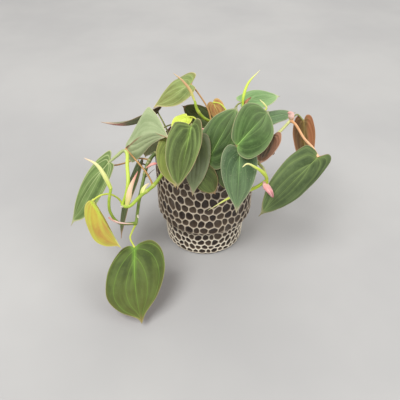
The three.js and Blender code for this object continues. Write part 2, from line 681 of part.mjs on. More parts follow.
// How far a disc across the line lies from a closed mesh
function discDistance(line, share, radius, geometry) {
  const centre = line.getPointAt(share);
  const tangent = line.getTangentAt(share);
  const level = Math.abs(tangent.z) > 0.9 ? new THREE.Vector3(1, 0, 0) : new THREE.Vector3(0, 0, 1);
  const first = new THREE.Vector3().crossVectors(tangent, level).normalize();
  const second = new THREE.Vector3().crossVectors(tangent, first);
  const probes = [centre];
  for (let side = 0; side < 8; side += 1) {
    const angle = (side / 8) * 2 * Math.PI;
    probes.push(centre.clone()
      .addScaledVector(first, radius * Math.cos(angle))
      .addScaledVector(second, radius * Math.sin(angle)));
  }
  const position = geometry.attributes.position;
  const index = geometry.index.array;
  const triangle = new THREE.Triangle();
  const nearest = new THREE.Vector3();
  let least = Infinity;
  for (let place = 0; place < index.length; place += 3) {
    triangle.setFromAttributeAndIndices(position, index[place], index[place + 1], index[place + 2]);
    probes.forEach((probe) => {
      triangle.closestPointToPoint(probe, nearest);
      least = Math.min(least, probe.distanceTo(nearest));
    });
  }
  return least;
}

// The share of the line at which its end disc first stands clear of a mesh
function clearShare(line, radius, geometry, fromStart) {
  const step = 0.15 / line.getLength();
  let share = fromStart ? step : 1 - step;
  while (share > 0 && share < 1 && discDistance(line, share, radius, geometry) < GAP) {
    share += fromStart ? step : -step;
  }
  return share;
}

const blades = LEAVES.map((leaf) => blade(leaf));

function vine({ stem, radii, stalks }) {
  const line = smoothLine(stem);
  const radiusAt = (share) => THREE.MathUtils.lerp(radii[0], radii[1], share);
  const pieces = [solidOf(bar(line, radiusAt, STEM_SIDES))];
  stalks.forEach(({ leaf, path, radius = PETIOLE_RADIUS }) => {
    const stalk = smoothLine(leaf ? [...path, LEAVES[leaf - 1].base] : path);
    const end = leaf ? clearShare(stalk, radius, blades[leaf - 1], false) : 1;
    pieces.push(solidOf(bar(stalk, () => radius, PETIOLE_SIDES, 0, end)));
  });
  return pieces.reduce((whole, piece) => whole.add(piece));
}

function shoot({ path, radius }, carrier) {
  const line = smoothLine(path);
  const start = clearShare(line, radius * SHOOT_NECK, carrier, true);
  const radiusAt = (share) => {
    const swell = share < SHOOT_WIDEST
      ? THREE.MathUtils.lerp(SHOOT_NECK, 1, share / SHOOT_WIDEST)
      : (1 - share) / (1 - SHOOT_WIDEST);
    return Math.max(SHOOT_TIP_RADIUS, radius * swell);
  };
  return bar(line, radiusAt, SHOOT_SIDES, start, 1);
}

function soil(stemHoles) {
  const points = [];
  const faces = [];
  const rise = (x, y) => SOIL_BUMP * Math.sin(x * 0.21 + 1) * Math.cos(y * 0.17 + x * 0.05);
  const ring = (radius, heightAt) => Array.from({ length: SOIL_SIDES }, (_, side) => {
    const angle = (side / SOIL_SIDES) * 2 * Math.PI;
    const [x, y] = [radius * Math.cos(angle), radius * Math.sin(angle)];
    points.push(new THREE.Vector3(x, y, heightAt(x, y)));
    return points.length - 1;
  });
  const band = (low, high) => low.forEach((point, side) => {
    const next = (side + 1) % SOIL_SIDES;
    faces.push([point, low[next], high[next]], [point, high[next], high[side]]);
  });
  const top = (x, y) => SOIL_TOP + rise(x, y);
  const rings = SOIL_PROFILE.slice(1, -1).map(([radius, z]) => ring(radius, () => z));
  for (let level = SOIL_RINGS; level > 0; level -= 1) {
    rings.push(ring((SOIL_PROFILE.at(-1)[0] * level) / SOIL_RINGS, top));
  }
  points.push(new THREE.Vector3(0, 0, SOIL_PROFILE[0][1]), new THREE.Vector3(0, 0, top(0, 0)));
  for (let level = 0; level + 1 < rings.length; level += 1) band(rings[level], rings[level + 1]);
  rings[0].forEach((point, side) => {
    const next = (side + 1) % SOIL_SIDES;
    faces.push([points.length - 2, rings[0][next], point]);
    faces.push([points.length - 1, rings.at(-1)[side], rings.at(-1)[next]]);
  });
  return stemHoles.reduce((bed, hole) => bed.subtract(hole), solidOf(geometryOf(points, faces)));
}

// A plain hole for a stem, a little wider and deeper than the stem
function stemHole({ stem, radii }) {
  const [foot, above] = [vector(stem[0]), vector(stem[1])];
  const way = above.clone().sub(foot).normalize();
  const low = foot.clone().addScaledVector(way, -GAP);
  const high = foot.clone().lerp(above, 0.95);
  const line = new THREE.LineCurve3(low, high);
  return solidOf(bar(line, () => radii[0] + HOLE_PLAY, STEM_SIDES + 2));
}

const group = new THREE.Group();
group.add(namedMesh("pot", pot(), "ridge", 0.35));
group.add(namedMesh("soil", geometryOfSolid(soil(VINES.map(stemHole))), "soil", 0.95));
blades.forEach((geometry, place) => {
  const name = `leaf_${String(place + 1).padStart(2, "0")}`;
  group.add(namedMesh(name, geometry, LEAVES[place].colour ?? "green", 0.6));
});
const vineGeometries = VINES.map((each) => geometryOfSolid(vine(each)));
VINES.forEach((each, place) => group.add(namedMesh(each.name, vineGeometries[place], "stem", 0.5)));
SHOOTS.forEach((each) => {
  group.add(namedMesh(each.name, shoot(each, vineGeometries[each.vine]), each.colour, 0.5));
});

export default group;
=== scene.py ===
import math
from functools import partialmethod

import bpy
import numpy as np
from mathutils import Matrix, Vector, noise


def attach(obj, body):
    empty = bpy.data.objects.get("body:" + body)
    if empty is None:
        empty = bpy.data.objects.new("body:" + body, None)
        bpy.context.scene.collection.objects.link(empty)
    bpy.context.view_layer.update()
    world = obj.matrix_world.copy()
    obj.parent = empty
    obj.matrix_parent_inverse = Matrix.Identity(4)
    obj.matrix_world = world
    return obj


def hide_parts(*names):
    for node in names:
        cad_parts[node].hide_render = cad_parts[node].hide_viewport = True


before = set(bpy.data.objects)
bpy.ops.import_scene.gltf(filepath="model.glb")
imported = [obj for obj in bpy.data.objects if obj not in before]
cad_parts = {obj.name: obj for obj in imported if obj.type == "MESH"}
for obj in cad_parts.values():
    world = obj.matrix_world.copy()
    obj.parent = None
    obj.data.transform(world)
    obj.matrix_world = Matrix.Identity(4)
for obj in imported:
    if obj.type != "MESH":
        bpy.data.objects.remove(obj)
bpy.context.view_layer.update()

MM = 0.001
TURN = 2 * math.pi
WORD = 0xFFFFFFFF
TINY = 1e-9

# The camera, as the photograph was taken: from the front, looking down
CAMERA_PLACE = (-5.9, -452.4, 422.8)
CAMERA_TURN = 50.5
CAMERA_LENS = 40.5
SENSOR_WIDTH = 36
# The studio, in metres and watts: each light's name, place, size and power
FLOOR_SIZE = 9
FLOOR_COLOURS = (183, 182, 180), (174, 173, 172)
DAYLIGHT = (1, 0.985, 0.965, 1)
DAYLIGHT_STRENGTH = 0.52
LIT_POINT = (0, 0, 0.1)
LIGHTS = [("key", (-0.9, -1.0, 2.2), 1.3, 50), ("fill", (1.6, -0.8, 1.4), 1.4, 15),
          ("back", (0.3, 1.8, 1.6), 1.2, 16)]

# The pot, as in the solid model
BODY_RADIUS = 60
FOOT_RADIUS = 51.5
FOOT_TAPER = 1
BASE_RADIUS = 48.5
FOOT_EDGE = 3
SHOULDER_LOW = 36
SHOULDER_HIGH = 47
DISHES_AROUND = 38
HALVES = 2 * DISHES_AROUND
ROW_HEIGHTS = [4.5, 13, 21.5, 30, 38.5, 48.5, 59.5, 70.5, 81.5, 92.5, 103.5, 114.5]
FOOT_ROW_PITCH = 8.5
BODY_ROW_PITCH = 11
BORDER_BELOW = 0
BORDER_ABOVE = 125.5
TURN_JITTER = 1.1
RISE_JITTER = 0.5
PULL_JITTER = 0.9
ROW_SWAY = 0.4
SWAYS_AROUND = 3
ROW_WAVE = 0.14
WAVES_AROUND = 4
ROW_PHASE = 2.1
NET_SEED = 7

# Each ring of a dish, from the crest inwards: how far in from the crest line, how deep, and how
# often its outline is rounded off. The last rings are shares of what is left of the dish.
EDGE_PARTS = 4
WALL_RINGS = [(0.3, 0.05, 1), (0.62, 0.5, 3), (0.95, 1.25, 6), (1.45, 1.85, 9)]
DISH_RINGS = [(0.52, 2.2, 12)]
DISH_BOTTOM = 2.35
CREST_WANDER = 0.3
WANDER_NOISE = 0.2
CREST_ROUGHNESS = 0.22
ROUGHNESS_NOISE = 0.12
# Between these heights the glaze turns from the body's shade to the foot's paler one, which is partly
# the glaze's own colour and partly painted light bounced up from the floor
FOOT_PALE_AND_LIT_START, FOOT_PALE_AND_LIT_FULL = 46, 22
# The depth, dish shade and foot paleness, with its painted light, that plain glaze has
PLAIN_GLAZE = (0.2, 0.5, 0)
BASE_PROFILE = [(48.2, 0), (48.7, 0.5)]
RIM_PROFILE = [(60, 124.3), (60.15, 125.6), (60.1, 127.3), (59.75, 128.8), (58.9, 129.75),
               (57.5, 130), (56, 129.7), (55.1, 128.7), (54.5, 126), (54, 110), (54, 80),
               (54, 48), (44.5, 36), (43, 20), (43, 7)]

# Soil
SOIL_TOP = 113
SOIL_BUMP = 1.4
SOIL_GRAIN = 1.3
SOIL_RADIUS = 53.3
SOIL_FLOOR = 7.4
SOIL_WALL = [(42, 7.4), (43.6, 35.5), (53.3, 49)]
SOIL_SIDES = 120
SOIL_RINGS = 34
CRUMB_COUNT = 420
CRUMB_MARGIN = 4
CRUMB_SEED = 11
CRUMB_RINGS = 3
CRUMB_SIDES = 6
# A crumb's smallest size and what a draw adds to it, and the same for its form in each direction
CRUMB_SIZE = (0.8, 2.1)
CRUMB_FORM = [(0.7, 0.9), (0.6, 0.6), (0.4, 0.4)]
CRUMB_ROUGHNESS = (0.8, 0.4)

# Leaves and stems
BLADE_THICKNESS = 0.6
BLADE_ROWS = 52
BLADE_COLUMNS = 40
WIDE = BLADE_COLUMNS + 1
BLADE_POINTS = (BLADE_ROWS - 1) * WIDE + 2
COLUMN_CROWDING = 1.25
MIDRIB_CROWDING = 1.6
PLAIN_FORM = dict(outline=("even", "even"), lobe=(1, 1), fold=(8, 8), curl=(-24, -24),
                  taper=(0, 0), arch=0.05, bend=0)
# Each side vein: where along the midrib it leaves, and how fast it swings out to the margin
VEINS = [(0, 0.055), (0.03, 0.15), (0.1, 0.3), (0.28, 0.75)]
VEIN_JITTER = 0.5
VEIN_SEED = 40
VEIN_WIDTH = 0.9
RIB_WIDTH = 1.0
# The relief of a blade: the fields between the veins swell up, the veins and the midrib sink in
# and stand out below, the margin waves, and the whole is slightly uneven
FIELD_SWELL, FIELD_WIDTH = 0.45, 2.6
VEIN_SINK, VEIN_KEEL = 0.25, 0.3
RIB_SINK, RIB_KEEL = 0.45, 1.1
FLAT_MARGIN = 3
WAVE_HEIGHT, WAVE_COUNT = 0.55, 2.3
UNEVENNESS, UNEVEN_NOISE = 1.1, 0.045
# Swollen places of a stem and a stalk: how much thicker, and over which length
NODE_SWELL, NODE_LENGTH = 0.42, 2.6
STALK_FOOT, FOOT_LENGTH = 0.55, 3
STALK_TOP, TOP_LENGTH = 0.3, 2
STALK_TAPER = 0.12
STEM_END = (0.96, 0.86, 0.6)
NODE_RING, FOOT_RING, SHOOT_RING = 1, 1.2, 0.8
PETIOLE_RADIUS = 1.05
STEM_SIDES = 14
SHOOT_SIDES = 20
ROOT_SIDES = 10
TUBE_SPACING = 1.2
ROOT_SPACING = 0.6
SHOOT_SPACING = 0.9
SPAN_STEPS = 24
NODE_SPACING = 27
THINNEST = 0.16

# Leaves: the colours of the upper face, the base, the tip, the way it faces, the width and its form
LEAVES = [
    ("fresh", (-17, 52, 187), (-60, 16, 174), (0, -0.3, 1), 48,
     dict(outline=("full", "lobed"), lobe=(0.1, 1), fold=(12, 0), arch=0.02, taper=(0.5, 0))),
    ("dusk", (-58, 40, 157), (-125, 25, 151), (0, 0.1, 1), 38,
     dict(outline=("slim", "even"), fold=(28, 0), curl=(40, -12), arch=-0.15, taper=(0.2, 0.2))),
    ("sage", (-91, -18, 141), (-39, -40, 168), (-0.52, -0.36, 0.77), 60,
     dict(outline=("peaked", "even"), lobe=(0.6, 0.3), fold=(5, -54), curl=(-8, -10), bend=-0.17,
          arch=0.06, taper=(-0.35, 0.9))),
    ("sage", (-58, 6, 145), (-70, -16, 127), (-0.4, -0.6, 0.6), 31, {}),
    ("banded", (-15, -42, 184), (-30, -78, 128), (0.05, -0.85, 0.5), 43,
     dict(lobe=(1.2, 0.3), fold=(56, 12), taper=(0.35, 0))),
    ("olive", (-33, -28, 159), (-33, -65, 120), (0, -0.8, 0.5), 42, {}),
    ("ashen", (-8, -41, 170), (-14, -74, 116), (0.15, -0.85, 0.4), 31,
     dict(outline=("slim", "slim"))),
    ("green", (4, -47, 147), (37, 9, 181), (0, -0.77, 0.64), 42, {}),
    ("green", (32, -59, 171), (69, -14, 187), (0, -0.77, 0.64), 48,
     dict(outline=("full", "even"), lobe=(0.3, 0.8), fold=(24, 6), arch=0.1, curl=(-12, -12))),
    ("grey", (36, -53, 162), (33, -90, 105), (0, -0.8, 0.5), 46,
     dict(outline=("slim", "slim"), fold=(10, 10), taper=(0.3, 0.3))),
    ("streaked", (121, -50, 151), (59, -78, 90), (0, -0.6, 0.75), 47,
     dict(lobe=(1, 0.3), fold=(-30, 22), taper=(0.15, 0.15))),
    ("green", (115, 12, 160), (122, -10, 106), (0, 1, 0.1), 26,
     dict(curl=(-30, -30))),
    ("green", (76, -14, 155), (59, -49, 141), (0.5, 0.75, 0.1), 30, {}),
    ("meadow", (45, 35, 172), (91, 48, 173), (0, -0.15, 1), 36, {}),
    ("grey", (61, 8, 161), (107, 24, 164), (0, -0.1, 1), 26, {}),
    ("dark", (11, 38, 140), (-29, 59, 155), (0, -0.8, 0.6), 27, {}),
    ("copper", (10, 44, 167), (22, 32, 149), (-0.4, -0.6, 0.7), 20, {}),
    ("lime", (-21, 9, 167), (-38, -15, 162), (-0.2, -0.6, 0.8), 18, {}),
    ("dark", (-7, -57, 140), (11, -71, 116), (0.1, -0.9, 0.4), 27, {}),
    ("shade", (19, -50, 139), (31, -70, 118), (0.1, -0.7, 0.7), 25,
     dict(lobe=(0.2, 0.2))),
    ("veined", (-109, -29, 131), (-155, -71, 69), (-0.3, -0.7, 0.6), 38,
     dict(outline=("full", "slim"), lobe=(0.1, 1.6), taper=(0.1, 0.6), bend=0.03)),
    ("gold", (-121, -81, 116), (-91, -110, 72), (0.15, -0.8, 0.5), 42,
     dict(outline=("even", "full"), lobe=(0.3, 0.9), fold=(-84, 0), taper=(0.9, 0))),
    ("moss", (-79, -98, 62), (-69, -161, 8), (0, -0.77, 0.64), 68,
     dict(outline=("slim", "full"), fold=(5, 5), bend=0.03)),
    ("dark", (-80, -2, 109), (-100, -68, 46), (-1, -0.55, 0.1), 34,
     dict(lobe=(0.5, 0.5))),
    ("green", (-30, 66, 126), (-48, 88, 66), (-0.5, 0.8, 0.3), 42, {}),
    ("moss", (36, 66, 130), (52, 90, 74), (0.5, 0.8, 0.3), 42, {}),
    ("green", (3, 86, 118), (6, 106, 48), (0, 0.9, 0.35), 46, {}),
    ("veined", (-62, 37, 128), (-94, 55, 76), (-0.7, 0.5, 0.5), 40, {}),
    ("green", (62, 37, 129), (91, 60, 77), (0.7, 0.5, 0.5), 40, {}),
]

# Half of the outline from the stalk round the lobe to the tip: the distance from the midrib in
# half widths, and the place along the midrib in lengths
OUTLINES = {
    "even": [(0, 0), (0.3, -0.11), (0.74, -0.06), (1, 0.19), (0.99, 0.41),
             (0.81, 0.64), (0.42, 0.83), (0.09, 0.93), (0, 1)],
    "slim": [(0, 0), (0.22, -0.06), (0.58, -0.07), (0.88, 0.05), (1, 0.25),
             (0.91, 0.46), (0.62, 0.68), (0.19, 0.87), (0, 1)],
    "lobed": [(0, 0), (0.36, -0.28), (0.8, -0.28), (1, -0.14), (0.96, 0.08),
              (0.79, 0.3), (0.54, 0.54), (0.24, 0.78), (0, 1)],
    "peaked": [(0, 0), (0.2, 0), (0.41, 0.11), (0.66, 0.25), (1, 0.43),
               (0.76, 0.6), (0.46, 0.77), (0.15, 0.93), (0, 1)],
    "full": [(0, 0), (0.22, -0.03), (0.52, 0.04), (0.85, 0.24), (1, 0.48),
             (0.95, 0.66), (0.62, 0.82), (0.12, 0.92), (0, 1)],
}

# Stems: the radii at the foot and at the end, the skin's number, the course and the stalks. A stalk
# has its leaf's number, its course up to that leaf, and its radius if it isn't the usual one.
VINES = {
    "vine_left_front": ((2.3, 1.8), 0, [(-30, -32, 100), (-33, -36, 126), (-38, -43, 136),
        (-45, -49, 131), (-57, -63, 122), (-70, -71, 115), (-83, -79, 106), (-91, -77, 105)], [
        (3, [(-57, -63, 122), (-64, -50, 128), (-73, -39, 133)]),
        (22, [(-90, -77, 105), (-94, -74, 112), (-103, -74, 119), (-112, -77, 120)]),
    ]),
    "vine_left": ((2.3, 1.7), 8, [(-34, -8, 100), (-38, -10, 126), (-48, -16, 137), (-58, -24, 137),
        (-65, -32, 130), (-69, -46, 120), (-74, -62, 102), (-78, -79, 79)], [
        (2, [(-38, -10, 126), (-42, 6, 142), (-50, 24, 151)]),
        (4, [(-38, -10, 127), (-45, 0, 138), (-52, 8, 144)]),
        (21, [(-63, -29, 133), (-79, -12, 123), (-96, -13, 117), (-106, -21, 120)]),
        (24, [(-65, -32, 130), (-68, -20, 119), (-75, -7, 112)]),
        (23, [(-78, -78, 80), (-82, -85, 74), (-84, -91, 70)]),
        (None, [(-78, -78, 80), (-95, -85, 87), (-103, -85, 103), (-103, -83, 116), (-100, -78, 130)],
         1.6),
    ]),
    "vine_front": ((2.2, 1.6), 0, [(-16, -22, 100), (-16, -22, 130), (-16, -22, 152),
        (-15, -24, 166)], [
        (5, [(-15, -24, 165), (-15, -31, 180)]),
        (6, [(-16, -22, 140), (-24, -21, 160)]),
        (7, [(-16, -22, 148), (-12, -24, 166), (-8, -34, 174)]),
        (18, [(-16, -22, 145), (-5, -8, 158), (-12, 4, 168)]),
        (19, [(-16, -22, 124), (-14, -36, 136), (-9, -49, 142)]),
    ]),
    "vine_centre": ((2.2, 1.6), 0, [(4, 10, 100), (6, 12, 130), (12, 18, 149), (7, 16, 156),
        (-2, 14, 163), (-9, 14, 173), (-12, 17, 183)], [
        (1, [(8, 16, 155), (3, 36, 164), (-9, 47, 179)]),
        (16, [(6, 12, 128), (12, 26, 134)]),
        (17, [(11, 17, 146), (26, 30, 160), (18, 41, 167)]),
    ]),
    "vine_right_back": ((2.2, 1.6), 0, [(22, 22, 100), (26, 20, 130), (34, 16, 152), (40, 12, 166),
        (43, 10, 180)], [
        (14, [(34, 16, 152), (34, 26, 164), (39, 33, 170)]),
        (15, [(30, 18, 142), (44, 10, 152), (54, 4, 158)]),
    ]),
    "vine_right": ((2.3, 1.6), 7, [(40, 2, 100), (43, 0, 126), (52, -6, 137), (66, -12, 139),
        (82, -4, 150), (100, 8, 164)], [
        (11, [(99, 7, 163), (103, -2, 163), (110, -22, 157), (116, -42, 157)], 1.5),
        (12, [(99, 7, 163), (106, 12, 168)]),
        (13, [(80, -5, 149), (81, -9, 153)]),
    ]),
    "vine_right_front": ((2.2, 1.5), 7, [(34, -20, 100), (37, -24, 124), (44, -30, 135), (54, -36, 137),
        (63, -43, 133), (67, -55, 128), (67, -64, 127)], [
        (8, [(36, -23, 118), (20, -34, 132), (9, -43, 142)]),
        (9, [(43, -29, 134), (42, -40, 156), (37, -50, 167)]),
        (10, [(41, -28, 132), (44, -36, 150), (40, -46, 160)]),
        (20, [(36, -23, 120), (24, -34, 135), (19, -43, 141)]),
    ]),
    "vine_back": ((2.2, 1.6), 0, [(0, 36, 100), (0, 40, 126), (1, 50, 138), (2, 62, 139),
        (3, 72, 133)], [
        (25, [(0, 44, 133), (-14, 54, 141), (-25, 63, 136)]),
        (26, [(0, 46, 135), (16, 54, 143), (30, 63, 140)]),
        (27, [(3, 71, 134), (3, 80, 128)]),
        (28, [(0, 42, 130), (-20, 42, 141), (-45, 39, 138)]),
        (29, [(0, 42, 130), (20, 42, 141), (45, 39, 139)]),
    ]),
}

# The skin of each leaf's stalk where it isn't the fourth
STALK_SKINS = {1: 1, 3: 1, 21: 1, 11: 4, 22: 2, 17: 2, 23: 2, 18: 2}

# Air roots, which leave the stems at the nodes: the vine, the radius, the skin and the course
ROOTS = [
    ("vine_left_front", 1.3, 5, [(-90, -78, 105), (-90.5, -81, 107), (-91, -83.5, 109.5)]),
    ("vine_left", 1.2, 5, [(-76, -73, 88), (-75, -77.5, 89), (-74, -81, 91)]),
    ("vine_left", 0.55, 6, [(-69, -46, 120), (-65, -48, 124), (-60.6, -45.2, 127.6),
     (-56.3, -42, 129.8)]),
    ("vine_right_front", 1.0, 5, [(52, -35, 137), (50, -39, 138), (48, -42, 137)]),
]

# Rolled leaves and sheaths: the radius, the skin, the course and how the radius changes along it
SHOOTS = [
    ("new_leaf_left", 2.7, "cream", [(-100, -78, 130), (-106, -73, 144), (-113, -69, 154),
     (-126, -65, 160)], dict(taper=0.6, foot=0.85)),
    ("new_leaf_low_left", 2.4, "ripe", [(-91, -77, 106), (-86, -70, 117), (-84, -62, 127),
     (-86, -46, 136), (-87.5, -32, 144.5), (-91, -30, 146), (-98, -37.5, 144), (-105.5, -46, 141)],
     dict(taper=0.14)),
    ("new_leaf_back", 2, "tan", [(-12, 17, 183), (-17, 21, 194), (-25, 25, 203), (-36, 27, 212)],
     dict(taper=0.6)),
    ("new_leaf_top", 1.9, "lime", [(43, 10, 180), (43, 14, 187), (49, 28, 199), (63, 40, 210)],
     dict(taper=0.6)),
    ("new_leaf_middle", 1.9, "lime", [(42, 11, 170), (56, 4, 172), (69, 4, 180), (67, 5, 184),
     (61, 8, 189)], dict(taper=0.4)),
    ("new_leaf_right", 2.2, "lime", [(67, -64, 127), (65, -66, 136), (59, -70, 146), (52, -73, 153),
     (42, -76, 160), (37, -79, 158)], dict(taper=0.45)),
    ("new_leaf_low_right", 2.3, "lime", [(66, -60, 127), (56, -65, 122), (45, -68, 119), (28, -69, 111),
     (8, -72, 98), (3, -74, 96)], {}),
    ("sheath_left", 2.8, "pink", [(-66, -37, 128), (-60, -38, 133), (-54, -41, 136)], {}),
    ("sheath_cream", 2, "cream", [(-70, -71, 115), (-66, -67, 123), (-61, -65, 127)], {}),
    ("sheath_low_left", 2.8, "blushing", [(-86, -78, 106), (-84, -77, 114), (-80, -72.5, 128),
     (-72, -63.5, 142)], dict(taper=0.75)),
    ("sheath_lowest", 3.7, "bulb", [(-81, -80.5, 82), (-89, -84.5, 86), (-97, -86.5, 90),
     (-107, -82, 93)], dict(taper=0.22, foot=0.15, swell=1)),
    ("sheath_right", 4, "hooked", [(65, -62, 126), (66, -70, 125), (68, -78, 126), (71, -86, 124)], {}),
    ("sheath_far_right", 3.4, "bulb", [(98.5, 6.5, 165), (98, 5.5, 169.5), (97.5, 5.5, 173),
     (93.5, 5, 174.5)], dict(taper=0.4)),
    ("sheath_centre", 1.7, "pink", [(-5, -6, 160), (1, -5, 159), (8, 1, 164)], {}),
    ("sheath_top", 1.8, "brown", [(43, 11, 177), (47, 15, 183), (53, 20, 186)], {}),
]

# Colours of the upper face of a leaf, as the eye sees them (0 to 255): the body, its darker
# patches, the paler fields beside the veins, the veins, the old part towards the tip and the
# margin, the thin margin, the tip and the spot by the stalk. The numbers say how strong the fields
# beside the veins, the side veins, the midrib, the old part and the spot are.
TONE_PARTS = ("body", "deep", "glow", "vein", "edge", "margin", "tip", "heart",
              "flush", "lines", "rib", "age", "spot")
TONES = {
    "fresh": ((130, 146, 82), (98, 114, 58), (156, 176, 106), (196, 206, 142), (138, 128, 72),
        (206, 194, 142), (168, 142, 88), (176, 206, 104), 0.35, 0.25, 0.55, 0.8, 0.4),
    "dusk": ((124, 138, 102), (98, 108, 80), (148, 158, 122), (176, 182, 146), (126, 120, 92),
        (196, 180, 150), (226, 172, 164), (150, 160, 110), 0.4, 0.3, 0.4, 0.5, 0.2),
    # This tone's pale grey-green is partly the leaf's own green and partly painted velvet sheen
    "sage": ((166, 180, 136), (140, 156, 112), (188, 200, 156), (202, 208, 166), (162, 174, 134),
        (208, 202, 164), (196, 176, 140), (186, 198, 144), 0.2, 0.15, 0.3, 0.4, 0.2),
    "banded": ((86, 102, 56), (58, 72, 36), (132, 154, 88), (174, 202, 114), (108, 108, 66),
        (166, 156, 118), (182, 126, 94), (160, 192, 98), 0.6, 0.2, 0.9, 0.5, 0.45),
    "olive": ((112, 127, 57), (84, 97, 42), (144, 158, 78), (178, 190, 104), (140, 134, 74),
        (178, 164, 114), (180, 132, 88), (160, 180, 86), 0.5, 0.35, 0.5, 0.5, 0.3),
    "ashen": ((92, 104, 63), (68, 80, 47), (104, 118, 74), (126, 142, 90), (142, 152, 120),
        (160, 146, 116), (156, 148, 116), (92, 108, 58), 0.3, 0.15, 0.3, 1.0, 0.2),
    "moss": ((90, 106, 52), (62, 76, 34), (102, 124, 56), (132, 172, 72), (112, 108, 54),
        (158, 148, 94), (150, 116, 76), (132, 184, 70), 0.3, 0.5, 1.0, 0.5, 0.8),
    "streaked": ((88, 106, 66), (60, 76, 44), (124, 144, 88), (152, 178, 98), (78, 94, 62),
        (136, 134, 96), (104, 84, 64), (150, 168, 92), 0.45, 0.25, 0.5, 0.6, 0.6),
    "dark": ((80, 96, 52), (60, 72, 38), (98, 116, 62), (122, 140, 78), (96, 90, 52), (158, 130, 96),
        (166, 110, 84), (96, 118, 56), 0.4, 0.3, 0.4, 0.5, 0.2),
    "green": ((84, 114, 58), (54, 78, 35), (122, 148, 94), (160, 198, 112), (126, 142, 102),
        (162, 164, 126), (146, 134, 98), (134, 188, 80), 0.22, 0.12, 0.9, 0.55, 0.7),
    # This tone's greyness is partly the leaf's own colour and partly painted velvet sheen
    "grey": ((90, 117, 77), (60, 85, 52), (120, 147, 105), (154, 188, 122), (126, 140, 108),
        (172, 172, 142), (186, 152, 130), (138, 182, 100), 0.2, 0.12, 0.7, 0.5, 0.6),
    "meadow": ((130, 166, 106), (98, 132, 78), (164, 194, 138), (174, 202, 132), (138, 160, 108),
        (190, 196, 150), (168, 160, 116), (156, 196, 106), 0.35, 0.12, 0.4, 0.4, 0.4),
    "shade": ((66, 80, 46), (48, 60, 32), (80, 98, 54), (104, 124, 70), (76, 80, 48), (124, 114, 80),
        (120, 96, 70), (90, 116, 54), 0.4, 0.3, 0.5, 0.4, 0.2),
    "veined": ((112, 136, 76), (80, 102, 52), (134, 156, 96), (194, 206, 148), (126, 140, 84),
        (184, 186, 138), (162, 158, 114), (156, 190, 100), 0.3, 0.6, 0.85, 0.4, 0.4),
    "lime": ((204, 224, 80), (184, 202, 64), (220, 236, 106), (228, 238, 132), (210, 222, 90),
        (224, 228, 124), (200, 206, 90), (214, 232, 100), 0.5, 0.3, 0.5, 0.3, 0.3),
    "gold": ((186, 168, 66), (172, 124, 60), (184, 194, 80), (190, 206, 82), (184, 146, 84),
        (204, 188, 108), (142, 132, 62), (180, 210, 62), 0.7, 0.4, 0.9, 0.8, 0.3),
    "copper": ((192, 144, 88), (158, 110, 68), (200, 164, 102), (208, 210, 108), (186, 128, 80),
        (208, 168, 122), (176, 110, 74), (206, 190, 110), 0.5, 0.4, 0.8, 0.5, 0.3),
}

# What only some of them have: the spot's colour drawn out along the midrib, pale dust, the brown
# of a crease beside the midrib, partly the under face's colour and partly painted shade in the
# fold, and the share of the length where the tip's colour starts
TONE_EXTRAS = {"dusk": dict(tip_from=0.66), "sage": dict(crease_brown_and_shade=(134, 106, 80)),
               "banded": dict(halo=0.5), "moss": dict(halo=0.45), "green": dict(halo=0.25),
               "grey": dict(halo=0.3, dust=0.5), "gold": dict(halo=0.9)}

# The under face: its body, darker patches, the parts left and right of the midrib as seen from
# above, the tint towards the margin, veins and margin, and for one the outer part and the tip
BACK_PARTS = ("body", "deep", "left", "right", "edge", "vein", "margin", "end", "tip")
BACKS = {
    "copper": ((146, 92, 68), (112, 66, 50), (140, 84, 62), (150, 96, 70), (160, 100, 72),
        (180, 128, 100), (190, 138, 110)),
    "olive": ((124, 100, 56), (100, 78, 44), (90, 64, 40), (172, 110, 76), (150, 100, 66),
        (140, 120, 66), (190, 138, 104)),
    "tan": ((94, 78, 48), (76, 62, 40), (78, 62, 38), (188, 134, 104), (176, 124, 94), (130, 100, 72),
        (222, 180, 152)),
    "dark": ((84, 64, 48), (58, 44, 34), (70, 54, 42), (92, 70, 52), (98, 76, 56), (120, 96, 74),
        (158, 128, 104)),
    "turned": ((96, 80, 58), (72, 58, 42), (90, 72, 52), (96, 80, 58), (104, 86, 62), (120, 104, 76),
        (168, 140, 112), (140, 150, 114), (232, 158, 148)),
    "pale": ((116, 128, 92), (92, 104, 74), (110, 122, 88), (124, 134, 96), (124, 124, 90),
        (140, 148, 108), (170, 164, 126)),
    "lime": ((172, 178, 78), (150, 156, 64), (176, 180, 80), (176, 180, 80), (182, 172, 84),
        (190, 196, 100), (204, 202, 124)),
}
# The under faces of those leaves whose under face isn't coppery
LEAF_BACKS = {2: "turned", 4: "pale", 12: "olive", 13: "tan", 16: "dark", 18: "lime", 22: "lime"}

# Skins of stems, stalks and air roots: the young and the old colour, the reddish tint and the nodes
STEM_SKINS = [
    ("stem", (172, 198, 64), (112, 134, 48), (176, 130, 86), (200, 192, 116)),
    ("stalk_tan", (206, 160, 104), (170, 130, 70), (196, 120, 84), (150, 104, 70)),
    ("stalk_lime", (206, 216, 84), (176, 190, 62), (206, 176, 90), (190, 190, 90)),
    ("stalk_green", (146, 152, 84), (120, 124, 66), (176, 124, 90), (150, 120, 80)),
    ("stalk_orange", (240, 192, 148), (218, 164, 116), (216, 142, 108), (190, 130, 96)),
    ("root_white", (236, 230, 210), (214, 206, 180), (222, 206, 180), (220, 210, 190)),
    ("root_dark", (104, 84, 66), (66, 52, 42), (84, 66, 52), (90, 70, 56)),
    ("stem_pale", (220, 224, 150), (120, 138, 58), (206, 180, 128), (216, 210, 150)),
    ("stem_deep", (122, 144, 60), (70, 90, 42), (124, 104, 62), (196, 190, 130)),
]

